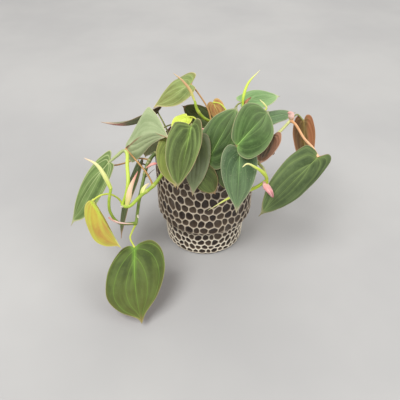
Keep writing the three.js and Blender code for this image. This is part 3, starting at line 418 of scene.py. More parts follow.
# Skins of rolled leaves and sheaths: the foot, the middle, the tip, the streaks, and for one the
# shares of the length between which the tip's colour comes in
SHOOT_SKINS = {
    "lime": ("rolled_lime", (176, 208, 40), (206, 226, 78), (236, 230, 170), (226, 232, 130)),
    "ripe": ("rolled_ripe", (176, 206, 50), (200, 220, 84), (160, 172, 122), (206, 214, 124),
        (0.66, 0.76)),
    "tan": ("rolled_tan", (212, 218, 120), (202, 162, 114), (224, 198, 154), (214, 178, 130)),
    "blushing": ("sheath_blushing", (222, 220, 120), (240, 206, 172), (224, 142, 132), (244, 214, 186)),
    "cream": ("rolled_cream", (200, 216, 90), (228, 230, 150), (234, 206, 176), (240, 228, 180)),
    "pink": ("sheath_pink", (220, 152, 136), (236, 174, 164), (214, 112, 108), (242, 208, 196)),
    "hooked": ("sheath_hooked", (234, 178, 172), (226, 158, 158), (124, 44, 48), (242, 208, 204)),
    "bulb": ("sheath_bulb", (226, 190, 150), (246, 204, 194), (236, 170, 160), (250, 222, 212)),
    "brown": ("sheath_brown", (150, 96, 64), (170, 112, 76), (120, 70, 50), (196, 150, 110)),
}

# The potting mix and the bits in it, with their pale and their dark colour
EARTHS = [("potting_mix", (74, 54, 38), (36, 25, 18)), ("bark", (112, 78, 50), (62, 40, 26)),
          ("grit", (206, 200, 186), (160, 152, 138))]


def seeded_draw(seed):
    """A seeded draw between 0 and 1, the same on every run."""
    state = seed

    def draw():
        nonlocal state
        state = (state + 0x6D2B79F5) & WORD
        mixed = ((state ^ (state >> 15)) * (1 | state)) & WORD
        mixed = ((mixed + (((mixed ^ (mixed >> 7)) * (61 | mixed)) & WORD)) & WORD) ^ mixed
        return (mixed ^ (mixed >> 14)) / (WORD + 1)

    return draw


def unit(rows):
    return rows / np.maximum(np.linalg.norm(rows, axis=-1, keepdims=True), TINY)


def smoothstep(low, high, value):
    share = np.clip((value - low) / (high - low), 0, 1)
    return share * share * (3 - 2 * share)


def bell(distance, width):
    """1 at no distance, and soon 0 beyond the width."""
    return np.exp(-(distance / width) ** 2)


def turned(x, y, angle):
    return x * np.cos(angle) - y * np.sin(angle), x * np.sin(angle) + y * np.cos(angle)


def span(start, end, slope_in, slope_out, share):
    """Points on the smooth curve between two points, from the slopes at both."""
    rise = end - start
    return start + share * (slope_in + share * (
        3 * rise - 2 * slope_in - slope_out + share * (slope_in + slope_out - 2 * rise)))


def wrap(rings, first=None, last=None):
    """Faces over rings of point numbers, and from a point at either end to the ring next to it."""
    faces = []
    for low, high in zip(rings, rings[1:]):
        faces += [[low[at - 1], low[at], high[at], high[at - 1]] for at in range(len(low))]
    if first is not None:
        faces += [[first, rings[0][at], rings[0][at - 1]] for at in range(len(rings[0]))]
    if last is not None:
        faces += [[last, rings[-1][at - 1], rings[-1][at]] for at in range(len(rings[-1]))]
    return faces


def closed(count, sides):
    """Faces over rings whose points are listed in a row, followed by the first and last point."""
    size = count * sides
    return wrap(np.arange(size).reshape(count, sides).tolist(), size, size + 1)


class Shape:
    """Points, faces and the named values at face corners of one piece, gathered in millimetres."""

    def __init__(self):
        self.points, self.faces, self.looks, self.values = [], [], [], {}
        self.count = 0

    def add(self, points, faces, look=0, corners=None, **values):
        """Adds faces with one material's number, or with one for each face. Each value has a row
        for each point, or for each number in corners, which lists the faces once more where
        corners of one point differ."""
        self.points.append(np.asarray(points, float))
        self.faces += [[self.count + place for place in face] for face in faces]
        self.looks += look if isinstance(look, list) else [look] * len(faces)
        self.count += len(points)
        rows = np.concatenate(corners or faces)
        for name, value in values.items():
            self.values.setdefault(name, []).append(np.asarray(value, float)[rows])

    def piece(self, name, materials, node, sharp=55):
        mesh = bpy.data.meshes.new(name)
        mesh.from_pydata(np.vstack(self.points) * MM, [], self.faces)
        for key, parts in self.values.items():
            layer = mesh.attributes.new(key, "FLOAT_VECTOR", "CORNER")
            layer.data.foreach_set("vector", np.vstack(parts).astype(np.float32).ravel())
        for material in materials:
            mesh.materials.append(material)
        mesh.polygons.foreach_set("material_index", self.looks)
        mesh.polygons.foreach_set("use_smooth", [True] * len(self.faces))
        mesh.set_sharp_from_angle(angle=math.radians(sharp))
        mesh.update()
        piece = bpy.data.objects.new(name, mesh)
        bpy.context.scene.collection.objects.link(piece)
        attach(piece, "root")
        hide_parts(node)


# Materials

def linear(colour):
    """An eye colour from 0 to 255 as the renderer's linear one."""
    shares = [value / 255 for value in colour]
    return [s / 12.92 if s <= 0.04045 else ((s + 0.055) / 1.055) ** 2.4 for s in shares] + [1]


class Look:
    """A material's node tree, with a short call for each kind of node that is used."""

    def __init__(self, name, **plain):
        self.material = bpy.data.materials.new(name)
        self.material.use_nodes = True
        self.tree = self.material.node_tree
        self.set(**plain)

    def set(self, **inputs):
        """Sets the surface's inputs to values or sockets, and returns the material."""
        for key, value in inputs.items():
            self.put(self.tree.nodes["Principled BSDF"].inputs[key.replace("_", " ")], value)
        return self.material

    def put(self, socket, value):
        if isinstance(value, bpy.types.NodeSocket):
            self.tree.links.new(value, socket)
        else:
            socket.default_value = value

    def node(self, kind, inputs, **settings):
        node = self.tree.nodes.new("ShaderNode" + kind)
        for key, value in settings.items():
            setattr(node, key, value)
        for place, value in inputs.items():
            self.put(node.inputs[place], value)
        return node

    def value(self, name):
        """The three parts of a named value of the mesh."""
        vector = self.node("Attribute", {}, attribute_name=name).outputs["Vector"]
        return self.node("SeparateXYZ", {0: vector}).outputs

    def math(self, kind, first, second=0.0):
        return self.node("Math", {0: first, 1: second}, operation=kind).outputs[0]

    plus = partialmethod(math, "ADD")
    times = partialmethod(math, "MULTIPLY")
    most = partialmethod(math, "MAXIMUM")
    least = partialmethod(math, "MINIMUM")
    size = partialmethod(math, "ABSOLUTE")

    def step(self, value, low, high, out_low=0.0, out_high=1.0):
        """A smooth change from one number to another as value passes from low to high."""
        inputs = {"Value": value, "From Min": low, "From Max": high,
                  "To Min": out_low, "To Max": out_high}
        return self.node("MapRange", inputs, interpolation_type="SMOOTHSTEP").outputs[0]

    def place(self):
        return self.node("TexCoord", {}).outputs["Object"]

    def noise(self, scale, detail=3.0, roughness=0.55, place=None):
        """A cloudy number from 0 to 1. scale counts clouds in a metre, or in place's own unit."""
        inputs = {"Vector": place or self.place(), "Scale": scale, "Detail": detail,
                  "Roughness": roughness}
        return self.node("TexNoise", inputs).outputs[0]

    def joined(self, x, y, z):
        return self.node("CombineXYZ", {0: x, 1: y, 2: z}).outputs[0]

    def cells(self, scale):
        """The distance to the edge of the nearest cell."""
        inputs = {"Vector": self.place(), "Scale": scale}
        return self.node("TexVoronoi", inputs, feature="DISTANCE_TO_EDGE").outputs[0]

    def mix(self, share, first, second):
        """A colour between two, each a socket or an eye colour."""
        pair = [c if isinstance(c, bpy.types.NodeSocket) else linear(c) for c in (first, second)]
        return self.node("Mix", {0: share, 6: pair[0], 7: pair[1]}, data_type="RGBA").outputs[2]

    def layers(self, colour, *layers):
        """A colour under layers, each given as how much of it shows and its colour."""
        for share, layer in layers:
            colour = self.mix(share, colour, layer)
        return colour

    def finish(self, colour, roughness, height, distance, strength):
        """Sets the colour, the roughness, given as for step, and the relief's height and depth."""
        inputs = {"Height": height, "Distance": distance, "Strength": strength}
        return self.set(Base_Color=colour, Roughness=self.step(*roughness),
                        Normal=self.node("Bump", inputs).outputs[0])


def vein_distances(look):
    """In millimetres: to the nearest side vein, across from the midrib (below 0 on the left),
    straight to the midrib, and to the margin."""
    across, last, inward = look.value("ribs")
    near = look.size(last)
    for vein in look.value("veins"):
        near = look.least(near, look.size(vein))
    return near, across, look.size(across), inward


def blade_upper(name, tone):
    """Velvety upper face: veins drawn by their distance, and streaks that run along them."""
    look = Look(name, Sheen_Weight=0.16, Sheen_Roughness=0.4, Sheen_Tint=(0.86, 0.9, 0.78, 1),
                Specular_IOR_Level=0.22)
    step, times = look.step, look.times
    leaf, along, fan = look.value("place")
    near, across, midrib, inward = vein_distances(look)
    clouds = look.noise(60, 5, 0.6)
    fine = look.noise(420)
    pleats = look.noise(1.7, 2, 0.5, look.joined(fan, times(along, 0.8), leaf))
    streaks = look.noise(6, 3, 0.6, look.joined(fan, times(along, 0.6), leaf))
    shade = look.plus(times(step(clouds, 0.38, 0.62), 0.55), step(pleats, 0.4, 0.62, 0, 0.6))
    old = look.most(step(along, 0.3, 0.95, 0, 0.8), step(inward, 6.5, 0.4))
    old = times(old, step(clouds, 0.3, 0.62, 0.4 * tone["age"], tone["age"]))
    flush = look.most(step(near, 3.4, 0.3), step(midrib, 3.4, 0.4))
    flush = times(flush, step(pleats, 0.3, 0.62, tone["flush"], tone["flush"] * 0.35))
    spot = times(step(along, 0.26, 0.02), step(midrib, 9, 0.5, 0, tone["spot"]))
    halo = times(step(midrib, 4.2, 0.5), step(along, 0.8, 0.1, 0, tone.get("halo", 0)))
    colour = look.layers(tone["body"], (shade, tone["deep"]), (old, tone["edge"]),
                         (flush, tone["glow"]), (look.most(spot, halo), tone["heart"]))
    if "dust" in tone:
        specks = step(look.noise(820, 2), 0.64, 0.72, 0, tone["dust"])
        colour = look.mix(specks, colour, tone["margin"])
    lines = times(step(near, 0.55, 0.08), step(along, 0.9, 0.1, 0.2, tone["lines"]))
    rib = step(look.math("DIVIDE", midrib, step(along, 0, 1, 1, 0.3)), 1, 0.3)
    rib_share = times(rib, step(along, 0.1, 1, tone["rib"], tone["rib"] * 0.35))
    colour = look.layers(colour, (step(streaks, 0.5, 0.72, 0, 0.3), tone["glow"]),
                         (step(fine, 0.45, 0.75, 0, 0.14), tone["glow"]),
                         (lines, tone["vein"]), (rib_share, tone["vein"]))
    # A brown band beside the midrib: partly the under face's colour, partly painted shade in the fold
    if "crease_brown_and_shade" in tone:
        crease_brown_and_shade = times(step(across, -0.2, 0.5), step(across, 2.6, 1.2))
        colour = look.mix(times(crease_brown_and_shade, step(along, 0.6, 0.4, 0, 0.85)), colour, tone["crease_brown_and_shade"])
    rim = times(step(inward, 0.7, 0.25), step(clouds, 0.2, 0.6, 0.4, 0.9))
    colour = look.layers(colour, (step(along, tone.get("tip_from", 0.88), 1, 0, 0.85), tone["tip"]),
                         (rim, tone["margin"]))
    height = look.plus(times(look.noise(1500, 2), 0.5), times(look.cells(900), 0.35))
    height = look.plus(height, times(streaks, 0.5))
    sunk = times(look.plus(step(near, 0.55, 0.1), rib), -0.8)
    return look.finish(colour, (fine, 0.3, 0.7, 0.58, 0.74), look.plus(height, sunk), 0.00022, 0.7)


def blade_under(name, tone):
    """Under face: smooth and a little glossy, with raised paler veins."""
    look = Look(name, Sheen_Weight=0.12, Specular_IOR_Level=0.3)
    step = look.step
    near, across, midrib, inward = vein_distances(look)
    clouds = look.noise(60, 4)
    colour = look.layers(tone["body"], (step(clouds, 0.35, 0.65), tone["deep"]),
                         (step(across, -2, -6, 0, 0.9), tone["left"]),
                         (step(across, 2, 7, 0, 0.9), tone["right"]),
                         (step(inward, 5, 0.5, 0, 0.5), tone["edge"]))
    if "end" in tone:
        along = look.value("place")[1]
        colour = look.layers(colour, (step(along, 0.42, 0.6, 0, 0.85), tone["end"]),
                             (step(along, 0.66, 0.8), tone["tip"]))
    colour = look.layers(colour, (step(look.cells(520), 0.1, 0.02, 0, 0.12), tone["vein"]),
                         (step(near, 0.6, 0.12, 0, 0.25), tone["vein"]),
                         (look.times(step(midrib, 1, 0.4), 0.7), tone["vein"]),
                         (step(inward, 0.8, 0.3, 0, 0.8), tone["margin"]))
    height = look.plus(look.times(look.noise(1300, 2), 0.4), step(near, 0.7, 0.1))
    return look.finish(colour, (clouds, 0.3, 0.7, 0.45, 0.6), height, 0.0002, 0.6)


def net_glaze():
    """Glaze: pale where it runs thin over the crests, and dark and glossy where it pools."""
    look = Look("net_glaze", Coat_Weight=0.12, Coat_Roughness=0.12, Specular_IOR_Level=0.35)
    step = look.step
    depth, cell, low = look.value("glaze")
    clouds = look.noise(70, 4)
    fine = look.noise(900)
    # Paler towards the foot: partly the glaze's own colour, partly painted light bounced up from the
    # floor
    pale_and_lit = look.plus(low, step(clouds, 0.35, 0.75, -0.25, 0.3))
    crest = look.layers((204, 192, 172), (step(pale_and_lit, 0, 1), (252, 244, 224)),
                        (step(fine, 0.4, 0.8, 0, 0.3), (156, 136, 112)))
    run = look.mix(step(pale_and_lit, -0.2, 1), (108, 90, 72), (164, 148, 128))
    pool = look.layers((48, 37, 30), (step(cell, 0.1, 0.9), (82, 68, 54)),
                       (step(fine, 0.35, 0.75, 0, 0.4), (34, 26, 22)))
    uneven = look.plus(depth, step(clouds, 0.3, 0.7, -0.06, 0.06))
    colour = look.layers(crest, (step(uneven, 0.05, 0.28), run), (step(uneven, 0.24, 0.6), pool))
    return look.finish(colour, (depth, 0.05, 0.8, 0.5, 0.25), fine, 0.00025, 0.5)


def rim_glaze():
    """The smooth glaze of the rim, the inside and the base."""
    look = Look("rim_glaze", Coat_Weight=0.2, Coat_Roughness=0.15)
    clouds = look.noise(60, 5)
    colour = look.mix(look.step(clouds, 0.3, 0.7), (92, 80, 70), (60, 50, 44))
    return look.finish(colour, (clouds, 0.3, 0.7, 0.25, 0.42), look.noise(700), 0.0002, 0.4)


def earth(name, pale, dark):
    look = Look(name, Specular_IOR_Level=0.2)
    colour = look.mix(look.step(look.noise(260, 6), 0.35, 0.65), dark, pale)
    return look.finish(colour, (look.noise(300), 0.3, 0.7, 0.8, 1), look.noise(1100, 5), 0.0008, 0.9)


def stem_skin(name, young, old, blush, ring):
    """Smooth stem: growth is the share along it, the ring share of a node, and the side."""
    look = Look(name, Specular_IOR_Level=0.45, Sheen_Weight=0.05)
    share, node, side = look.value("growth")
    streaks = look.noise(160, 4)
    reddish = look.times(look.step(side, 0.1, 0.9), look.step(streaks, 0.3, 0.6, 0.35, 0.9))
    colour = look.layers(old, (look.step(share, 0.1, 0.95), young),
                         (look.step(streaks, 0.4, 0.75, 0, 0.45), old),
                         (reddish, blush), (look.times(node, 0.6), ring))
    return look.finish(colour, (streaks, 0.3, 0.7, 0.36, 0.52), look.noise(900), 0.00015, 0.5)


def shoot_skin(name, foot, middle, tip, streak, fade=(0.55, 0.98)):
    """A rolled leaf or a sheath, which turns from one colour to another along its length."""
    look = Look(name, Specular_IOR_Level=0.45, Sheen_Weight=0.1)
    share, _, side = look.value("growth")
    clouds = look.noise(220, 4)
    lines = look.step(look.math("SINE", look.times(side, 26)), 0.4, 1, 0, 0.35)
    lines = look.most(lines, look.step(clouds, 0.5, 0.8, 0, 0.5))
    colour = look.layers(foot, (look.step(share, 0.05, 0.5), middle), (look.step(share, *fade), tip),
                         (lines, streak))
    return look.finish(colour, (clouds, 0.3, 0.7, 0.38, 0.55), look.noise(1000), 0.00015, 0.5)


# The pot

def crest_radius(z):
    """The pot's outer radius along the crests of the net."""
    if z < FOOT_EDGE:
        return BASE_RADIUS + (FOOT_RADIUS - FOOT_TAPER - BASE_RADIUS) * z / FOOT_EDGE
    if z < SHOULDER_LOW:
        return FOOT_RADIUS - FOOT_TAPER * (SHOULDER_LOW - z) / (SHOULDER_LOW - FOOT_EDGE)
    climb = float(smoothstep(SHOULDER_LOW, SHOULDER_HIGH, z))
    return FOOT_RADIUS + (BODY_RADIUS - FOOT_RADIUS) * climb


def round_place(half, z, radius):
    angle = half / HALVES * TURN
    return radius * math.cos(angle), radius * math.sin(angle), z


def rounded(outline, times):
    """An outline with its corners evened out."""
    for _ in range(times):
        outline = (np.roll(outline, 1, axis=0) + 2 * outline + np.roll(outline, -1, axis=0)) / 4
    return outline


class Net:
    """The net of crests round the dishes. Places round the pot are counted in half dishes."""

    def __init__(self):
        self.points, self.values, self.crests, self.edges, self.centres = [], [], {}, {}, []
        draw = seeded_draw(NET_SEED)
        for number, z in enumerate(ROW_HEIGHTS):
            pitch = FOOT_ROW_PITCH if z < SHOULDER_HIGH else BODY_ROW_PITCH
            phase = ROW_PHASE * number
            for cell in range(DISHES_AROUND):
                around = cell / DISHES_AROUND * TURN
                turn = (draw() - 0.5) * TURN_JITTER + ROW_SWAY * math.sin(SWAYS_AROUND * around + phase)
                rise = (draw() - 0.5) * RISE_JITTER + ROW_WAVE * math.sin(WAVES_AROUND * around + phase)
                self.centres.append((turn, z + rise * pitch, 1 + (draw() - 0.5) * PULL_JITTER))

    def centre(self, row, half):
        """A dish's half step and height, and how strongly it pulls at the crests round it."""
        if row < 0 or row >= len(ROW_HEIGHTS):
            return half, BORDER_BELOW if row < 0 else BORDER_ABOVE, 1
        cell = (half - row % 2) // 2 % DISHES_AROUND
        turn, z, pull = self.centres[row * DISHES_AROUND + cell]
        return half + turn, z, pull

    def corner(self, level, half):
        """The crest corner at this half step, on the line above the row before this level."""
        own = level - 1 if half % 2 == (level - 1) % 2 else level
        other = 2 * level - 1 - own
        three = [self.centre(own, half), self.centre(other, half - 1), self.centre(other, half + 1)]
        pulls = sum(pull for _, _, pull in three)
        return [sum(place[axis] * place[2] for place in three) / pulls for axis in range(2)]

    def point(self, half, z, sink=0, cell=0.5):
        """Adds a point this far below the crests and returns its number."""
        place = Vector(round_place(half, z, crest_radius(z)))
        rough = CREST_ROUGHNESS * noise.noise(place * ROUGHNESS_NOISE)
        uneven = rough * (1 - min(sink / DISH_BOTTOM, 1))
        self.points.append(round_place(half, z, crest_radius(z) + uneven - sink))
        # The third value is the foot's paleness, partly the glaze's own and partly painted light
        self.values.append((sink / DISH_BOTTOM, cell, float(smoothstep(FOOT_PALE_AND_LIT_START, FOOT_PALE_AND_LIT_FULL, z))))
        return len(self.points) - 1

    def place(self, number, near):
        """A point's height, and its half step counted on past a full turn to lie near another."""
        x, y, z = self.points[number]
        half = math.atan2(y, x) / TURN * HALVES
        return half + round((near - half) / HALVES) * HALVES, z

    def crest(self, level, half):
        """The point number of a crest corner."""
        key = (level, half % HALVES)
        if key not in self.crests:
            self.crests[key] = self.point(*self.corner(*key))
        return self.crests[key]

    def edge(self, first, second):
        """The point numbers between two crest corners, in the first one's order."""
        if first > second:
            return self.edge(second, first)[::-1]
        if (first, second) not in self.edges:
            start = self.place(first, 0)
            end = self.place(second, start[0])
            row = []
            for part in range(1, EDGE_PARTS):
                half, z = (a + (b - a) * part / EDGE_PARTS for a, b in zip(start, end))
                here = Vector(round_place(half, z, BODY_RADIUS)) * WANDER_NOISE
                half += CREST_WANDER * noise.noise(here) / 2.5
                z += CREST_WANDER * noise.noise(here + Vector((9, 9, 9)))
                row.append(self.point(half, z))
            self.edges[first, second] = row
        return self.edges[first, second]

    def line(self, corners):
        """All point numbers along the crests from corner to corner, and back to the first one."""
        numbers = [self.crest(*corner) for corner in corners]
        return [number for start, end in zip(numbers, numbers[1:] + numbers[:1])
                for number in [start] + self.edge(start, end)]

    def dish(self, row, half, shade):
        """The faces of a dish, from the crests round it to its middle."""
        level = row + 1
        rings = [self.line([(row, half), (row, half + 1), (level, half + 1),
                            (level, half), (level, half - 1), (row, half - 1)])]
        outline = np.array([self.place(number, half) for number in rings[0]])
        half_length = TURN * crest_radius(outline[:, 1].mean()) / HALVES
        outline[:, 0] *= half_length
        middle = outline.mean(axis=0)
        radius = np.linalg.norm(outline - middle, axis=1).mean()
        shares = [1 - inward / radius for inward, _, _ in WALL_RINGS]
        shares += [shares[-1] * share for share, _, _ in DISH_RINGS]
        for share, (_, sink, times) in zip(shares, WALL_RINGS + DISH_RINGS):
            inside = middle + share * (rounded(outline, times) - middle)
            rings.append([self.point(u / half_length, z, sink, shade) for u, z in inside])
        bottom = self.point(middle[0] / half_length, middle[1], DISH_BOTTOM, shade)
        return wrap(rings, last=bottom)

    def plain_point(self, x, y, z):
        self.points.append((x, y, z))
        self.values.append(PLAIN_GLAZE)
        return len(self.points) - 1

    def plain_ring(self, line, radius, z):
        """A ring with a point at the same turn as each point of a line."""
        ways = [unit(np.array(self.points[number][:2])) for number in line]
        return [self.plain_point(*(way * radius), z) for way in ways]


def pot_piece():
    net = Net()
    faces = []
    draw = seeded_draw(NET_SEED + 1)
    for row in range(len(ROW_HEIGHTS)):
        for cell in range(DISHES_AROUND):
            faces += net.dish(row, 2 * cell + row % 2, draw())
    net_faces = len(faces)
    low, high = (net.line([(level, half) for half in range(HALVES)]) for level in (0, len(ROW_HEIGHTS)))
    base = [net.plain_ring(low, *place) for place in BASE_PROFILE]
    rim = [net.plain_ring(high, *place) for place in RIM_PROFILE]
    faces += wrap([*base, low], first=net.plain_point(0, 0, 0))
    faces += wrap([high, *rim], last=net.plain_point(0, 0, RIM_PROFILE[-1][1]))
    shape = Shape()
    looks = [0] * net_faces + [1] * (len(faces) - net_faces)
    shape.add(net.points, faces, looks, glaze=net.values)
    shape.piece("glazed_pot", [net_glaze(), rim_glaze()], "pot", sharp=70)


# Soil

def bed(x, y):
    """The height of the crumbly soil."""
    wave = SOIL_BUMP * math.sin(x * 0.21 + 1) * math.cos(y * 0.17 + x * 0.05)
    return SOIL_TOP + wave + SOIL_GRAIN * noise.fractal(Vector((x, y, 3)) * 0.16, 0.7, 2.1, 4)


def soil_piece():
    """The potting mix: a crumbly bed with pieces of bark and grit lying in it."""
    rings = SOIL_WALL + [(SOIL_RADIUS * level / SOIL_RINGS, None) for level in range(SOIL_RINGS, 0, -1)]
    points = []
    for radius, z in rings:
        for side in range(SOIL_SIDES):
            angle = side / SOIL_SIDES * TURN
            x, y = radius * math.cos(angle), radius * math.sin(angle)
            points.append((x, y, z or bed(x, y)))
    points += [(0, 0, SOIL_FLOOR), (0, 0, bed(0, 0))]
    shape = Shape()
    shape.add(points, closed(len(rings), SOIL_SIDES))
    draw = seeded_draw(CRUMB_SEED)
    for crumb in range(CRUMB_COUNT):
        angle, reach = draw() * TURN, (SOIL_RADIUS - CRUMB_MARGIN) * math.sqrt(draw())
        x, y = reach * math.cos(angle), reach * math.sin(angle)
        size = CRUMB_SIZE[0] + CRUMB_SIZE[1] * draw() ** 2
        add_crumb(shape, (x, y, bed(x, y)), size, draw, 1 + (crumb % 9 == 0))
    shape.piece("potting_mix", [earth(*kind) for kind in EARTHS], "soil", sharp=40)


def add_crumb(shape, place, size, draw, look):
    """A small uneven lump."""
    stretch = np.array([least + more * draw() for least, more in CRUMB_FORM]) * size
    turn = draw() * math.pi
    points = []
    for level in range(1, CRUMB_RINGS + 1):
        tilt = level / (CRUMB_RINGS + 1) * math.pi
        for side in range(CRUMB_SIDES):
            angle = side / CRUMB_SIDES * TURN + level * 0.4
            rough = CRUMB_ROUGHNESS[0] + CRUMB_ROUGHNESS[1] * draw()
            points.append((rough * math.sin(tilt) * math.cos(angle),
                           rough * math.sin(tilt) * math.sin(angle), -rough * math.cos(tilt)))
    x, y, z = (np.array(points + [(0, 0, -1), (0, 0, 1)]) * stretch).T
    points = np.column_stack([*turned(x, y, turn), z]) + place
    shape.add(points, closed(CRUMB_RINGS, CRUMB_SIDES), look)


# Leaves

def outline_at(along, outline):
    """The margin of half a blade: shares of the half width and of the length."""
    spans = len(outline) - 1
    at = np.minimum(along * spans, spans - TINY)
    index = at.astype(int)
    points = np.array(outline, float)
    start, end = points[index], points[index + 1]
    slope_in = (end - points[np.maximum(index - 1, 0)]) / 2
    slope_out = (points[np.minimum(index + 2, spans)] - start) / 2
    curve = span(start, end, slope_in, slope_out, (at - index)[..., None])
    return curve[..., 0], curve[..., 1]


class Blade:
    """A leaf blade's middle surface on a grid. across runs from -1 over the midrib to 1, along
    from 0 at the stalk to 1 at the tip."""

    def __init__(self, seed, base, tip, face, width, form):
        self.form = {**PLAIN_FORM, **form}
        self.seed = seed
        even = np.linspace(-1, 1, WIDE)
        across = np.sign(even) * np.abs(even) ** COLUMN_CROWDING
        self.across, self.along = np.meshgrid(across, np.linspace(0, 1, BLADE_ROWS + 1))
        self.side = (self.across >= 0).astype(int)
        self.reach = np.abs(self.across)
        chord = np.subtract(tip, base).astype(float)
        self.length = np.linalg.norm(chord)
        ahead = chord / self.length
        self.up = unit(face - ahead * (face @ ahead))
        self.lay_out(base, ahead, width / 2)
        self.measure()
        self.shape_relief()

    def by_side(self, key):
        return np.array(self.form[key], float)[self.side]

    def lay_out(self, base, ahead, half):
        left, right = (outline_at(self.along, OUTLINES[kind]) for kind in self.form["outline"])
        out_at, margin_at = (np.where(self.side == 1, r, l) for l, r in zip(left, right))
        margin = np.where(margin_at < 0, margin_at * self.by_side("lobe"), margin_at)
        forward = self.along ** MIDRIB_CROWDING * (1 - self.reach) + margin * self.reach
        fold = np.radians(self.by_side("fold"))
        curl = np.radians(self.by_side("curl"))
        self.half_width = half * out_at * (1 - self.by_side("taper") * self.along)
        end = fold + curl * self.reach * self.half_width / half
        width = half / curl * (np.sin(end) - np.sin(fold))
        lift = half / curl * (np.cos(fold) - np.cos(end))
        bow = self.length * np.sin(np.pi * forward)
        way = np.where(self.side == 1, width, -width) + bow * self.form["bend"]
        self.grid = (base + ahead * (self.length * forward)[..., None]
                     + np.cross(ahead, self.up) * way[..., None]
                     + self.up * (lift + bow * self.form["arch"])[..., None])

    def measure(self):
        """Distances in millimetres to each side vein, to the midrib and to the margin, and a number
        that stays the same along the side veins."""
        self.veins = []
        draw = seeded_draw(VEIN_SEED + self.seed)
        for start, rate in VEINS:
            shift = VEIN_JITTER * np.array([draw() - 0.5, draw() - 0.5])[self.side]
            run = np.maximum(self.along - start * (1 + shift), 0)
            swing = 1 - np.exp(-run / (rate * (1 + shift)))
            slope = self.half_width * (1 - swing) / rate / self.length
            self.veins.append((self.reach - swing) * self.half_width / np.sqrt(1 + slope ** 2))
        self.midrib = self.reach * self.half_width
        far = -np.log(1 - 0.97 * self.reach)
        self.fan = np.log(np.maximum((self.along - 0.055 * far) / (1 + 2.4 * far), -0.03) + 0.045)
        self.inward = (1 - self.reach) * self.half_width

    def normals(self):
        normal = np.cross(np.gradient(self.grid, axis=1), np.gradient(self.grid, axis=0))
        normal[0], normal[-1] = normal[1].mean(axis=0), normal[-2].mean(axis=0)
        normal = unit(normal)
        return normal if (normal @ self.up).mean() > 0 else -normal

    def shape_relief(self):
        """Sunken veins, swollen fields between them, a wavy margin and a slight unevenness."""
        near = np.min(np.abs(self.veins), axis=0)
        inner = smoothstep(0, FLAT_MARGIN, self.inward)
        self.vein_relief = bell(near, VEIN_WIDTH) * inner
        self.rib_relief = bell(self.midrib, RIB_WIDTH) * (1 - self.along) ** 0.6
        swell = FIELD_SWELL * (1 - bell(np.minimum(near, self.midrib), FIELD_WIDTH)) * inner
        sink = VEIN_SINK * self.vein_relief + RIB_SINK * self.rib_relief
        window = np.sin(np.pi * self.along)
        ripple = np.sin(TURN * (WAVE_COUNT * self.along + 0.37 * self.seed + 0.5 * self.side))
        wave = WAVE_HEIGHT * ripple * self.reach ** 3 * window
        cloud = np.array([[noise.noise(Vector(place) * UNEVEN_NOISE + Vector((self.seed, 0, 0)))
                           for place in row] for row in self.grid])
        uneven = UNEVENNESS * cloud * self.reach * window
        self.grid = self.grid + self.normals() * (swell - sink + wave + uneven)[..., None]

    def points(self):
        """The upper and the under face's points, with one point at either end of the midrib."""
        normal = self.normals()
        thin = BLADE_THICKNESS / 2 * (1 - 0.5 * self.reach ** 6)
        keel = thin + RIB_KEEL * self.rib_relief + VEIN_KEEL * self.vein_relief
        skins = [self.grid + normal * thin[..., None], self.grid - normal * keel[..., None]]
        return np.vstack([part for skin in skins
                          for part in (skin[0, :1], skin[1:-1].reshape(-1, 3), skin[-1, :1])])

    def values(self):
        """The values of the grid that the materials use."""
        rows = dict(place=(self.seed * 3 + 0.8 * self.across, self.along, self.fan),
                    veins=self.veins[:3],
                    ribs=(self.midrib * np.sign(self.across), self.veins[3], self.inward))
        return {name: np.column_stack([part.ravel() for part in row]) for name, row in rows.items()}


def blade_faces():
    """Faces of the upper and the under side and round the margin, as point and as grid numbers."""
    grid = []
    for row in range(BLADE_ROWS):
        for start in range(row * WIDE, row * WIDE + BLADE_COLUMNS):
            face = [start, start + 1, start + WIDE + 1, start + WIDE]
            grid.append(face[1:] if row == 0 else face[:3] if row == BLADE_ROWS - 1 else face)
    margin = [row * WIDE + BLADE_COLUMNS for row in range(BLADE_ROWS + 1)]
    margin += [row * WIDE for row in range(BLADE_ROWS - 1, 0, -1)]
    corners = grid + [face[::-1] for face in grid] + wrap([margin, margin])
    upper = np.arange((BLADE_ROWS + 1) * WIDE) - BLADE_COLUMNS
    upper = np.clip(upper, 0, BLADE_POINTS - 1).tolist()
    under = [number + BLADE_POINTS for number in upper]
    faces = [[upper[c] for c in face] for face in grid]
    faces += [[under[c] for c in face[::-1]] for face in grid]
    faces += wrap([[skin[c] for c in margin] for skin in (under, upper)])
    return faces, corners


def blade_piece(number, row, faces, corners, looks):
    blade = Blade(number, *row)
    upper = BLADE_ROWS * BLADE_COLUMNS
    shape = Shape()
    shape.add(blade.points(), faces, [0] * upper + [1] * (len(faces) - upper), corners, **blade.values())
    name = f"leaf_{number:02d}"
    shape.piece(name + "_blade", looks, name)


# Stems, stalks and shoots

def run_of(line):
    """How far along a line each of its points lies."""
    return np.concatenate([[0], np.cumsum(np.linalg.norm(np.diff(line, axis=0), axis=1))])


def smooth_line(places, spacing=TUBE_SPACING):
    """Evenly spaced points along a smooth curve through the places."""
    points = np.array(places, float)
    ends = [2 * points[0] - points[1], *points, 2 * points[-1] - points[-2]]
    share = np.linspace(0, 1, SPAN_STEPS, endpoint=False)[:, None]
    spans = []
    for before, start, end, after in zip(ends, ends[1:], ends[2:], ends[3:]):
        pairs = ((before, start), (start, end), (end, after))
        d0, d1, d2 = (math.sqrt(math.dist(a, b)) for a, b in pairs)
        slope_in = d1 * ((start - before) / d0 - (end - before) / (d0 + d1) + (end - start) / d1)
        slope_out = d1 * ((end - start) / d1 - (after - start) / (d1 + d2) + (after - end) / d2)
        spans.append(span(start, end, slope_in, slope_out, share))
    dense = np.vstack([*spans, points[-1:]])
    run = run_of(dense)
    even = np.linspace(0, run[-1], max(3, round(run[-1] / spacing)) + 1)
    return np.column_stack([np.interp(even, run, dense[:, axis]) for axis in range(3)])


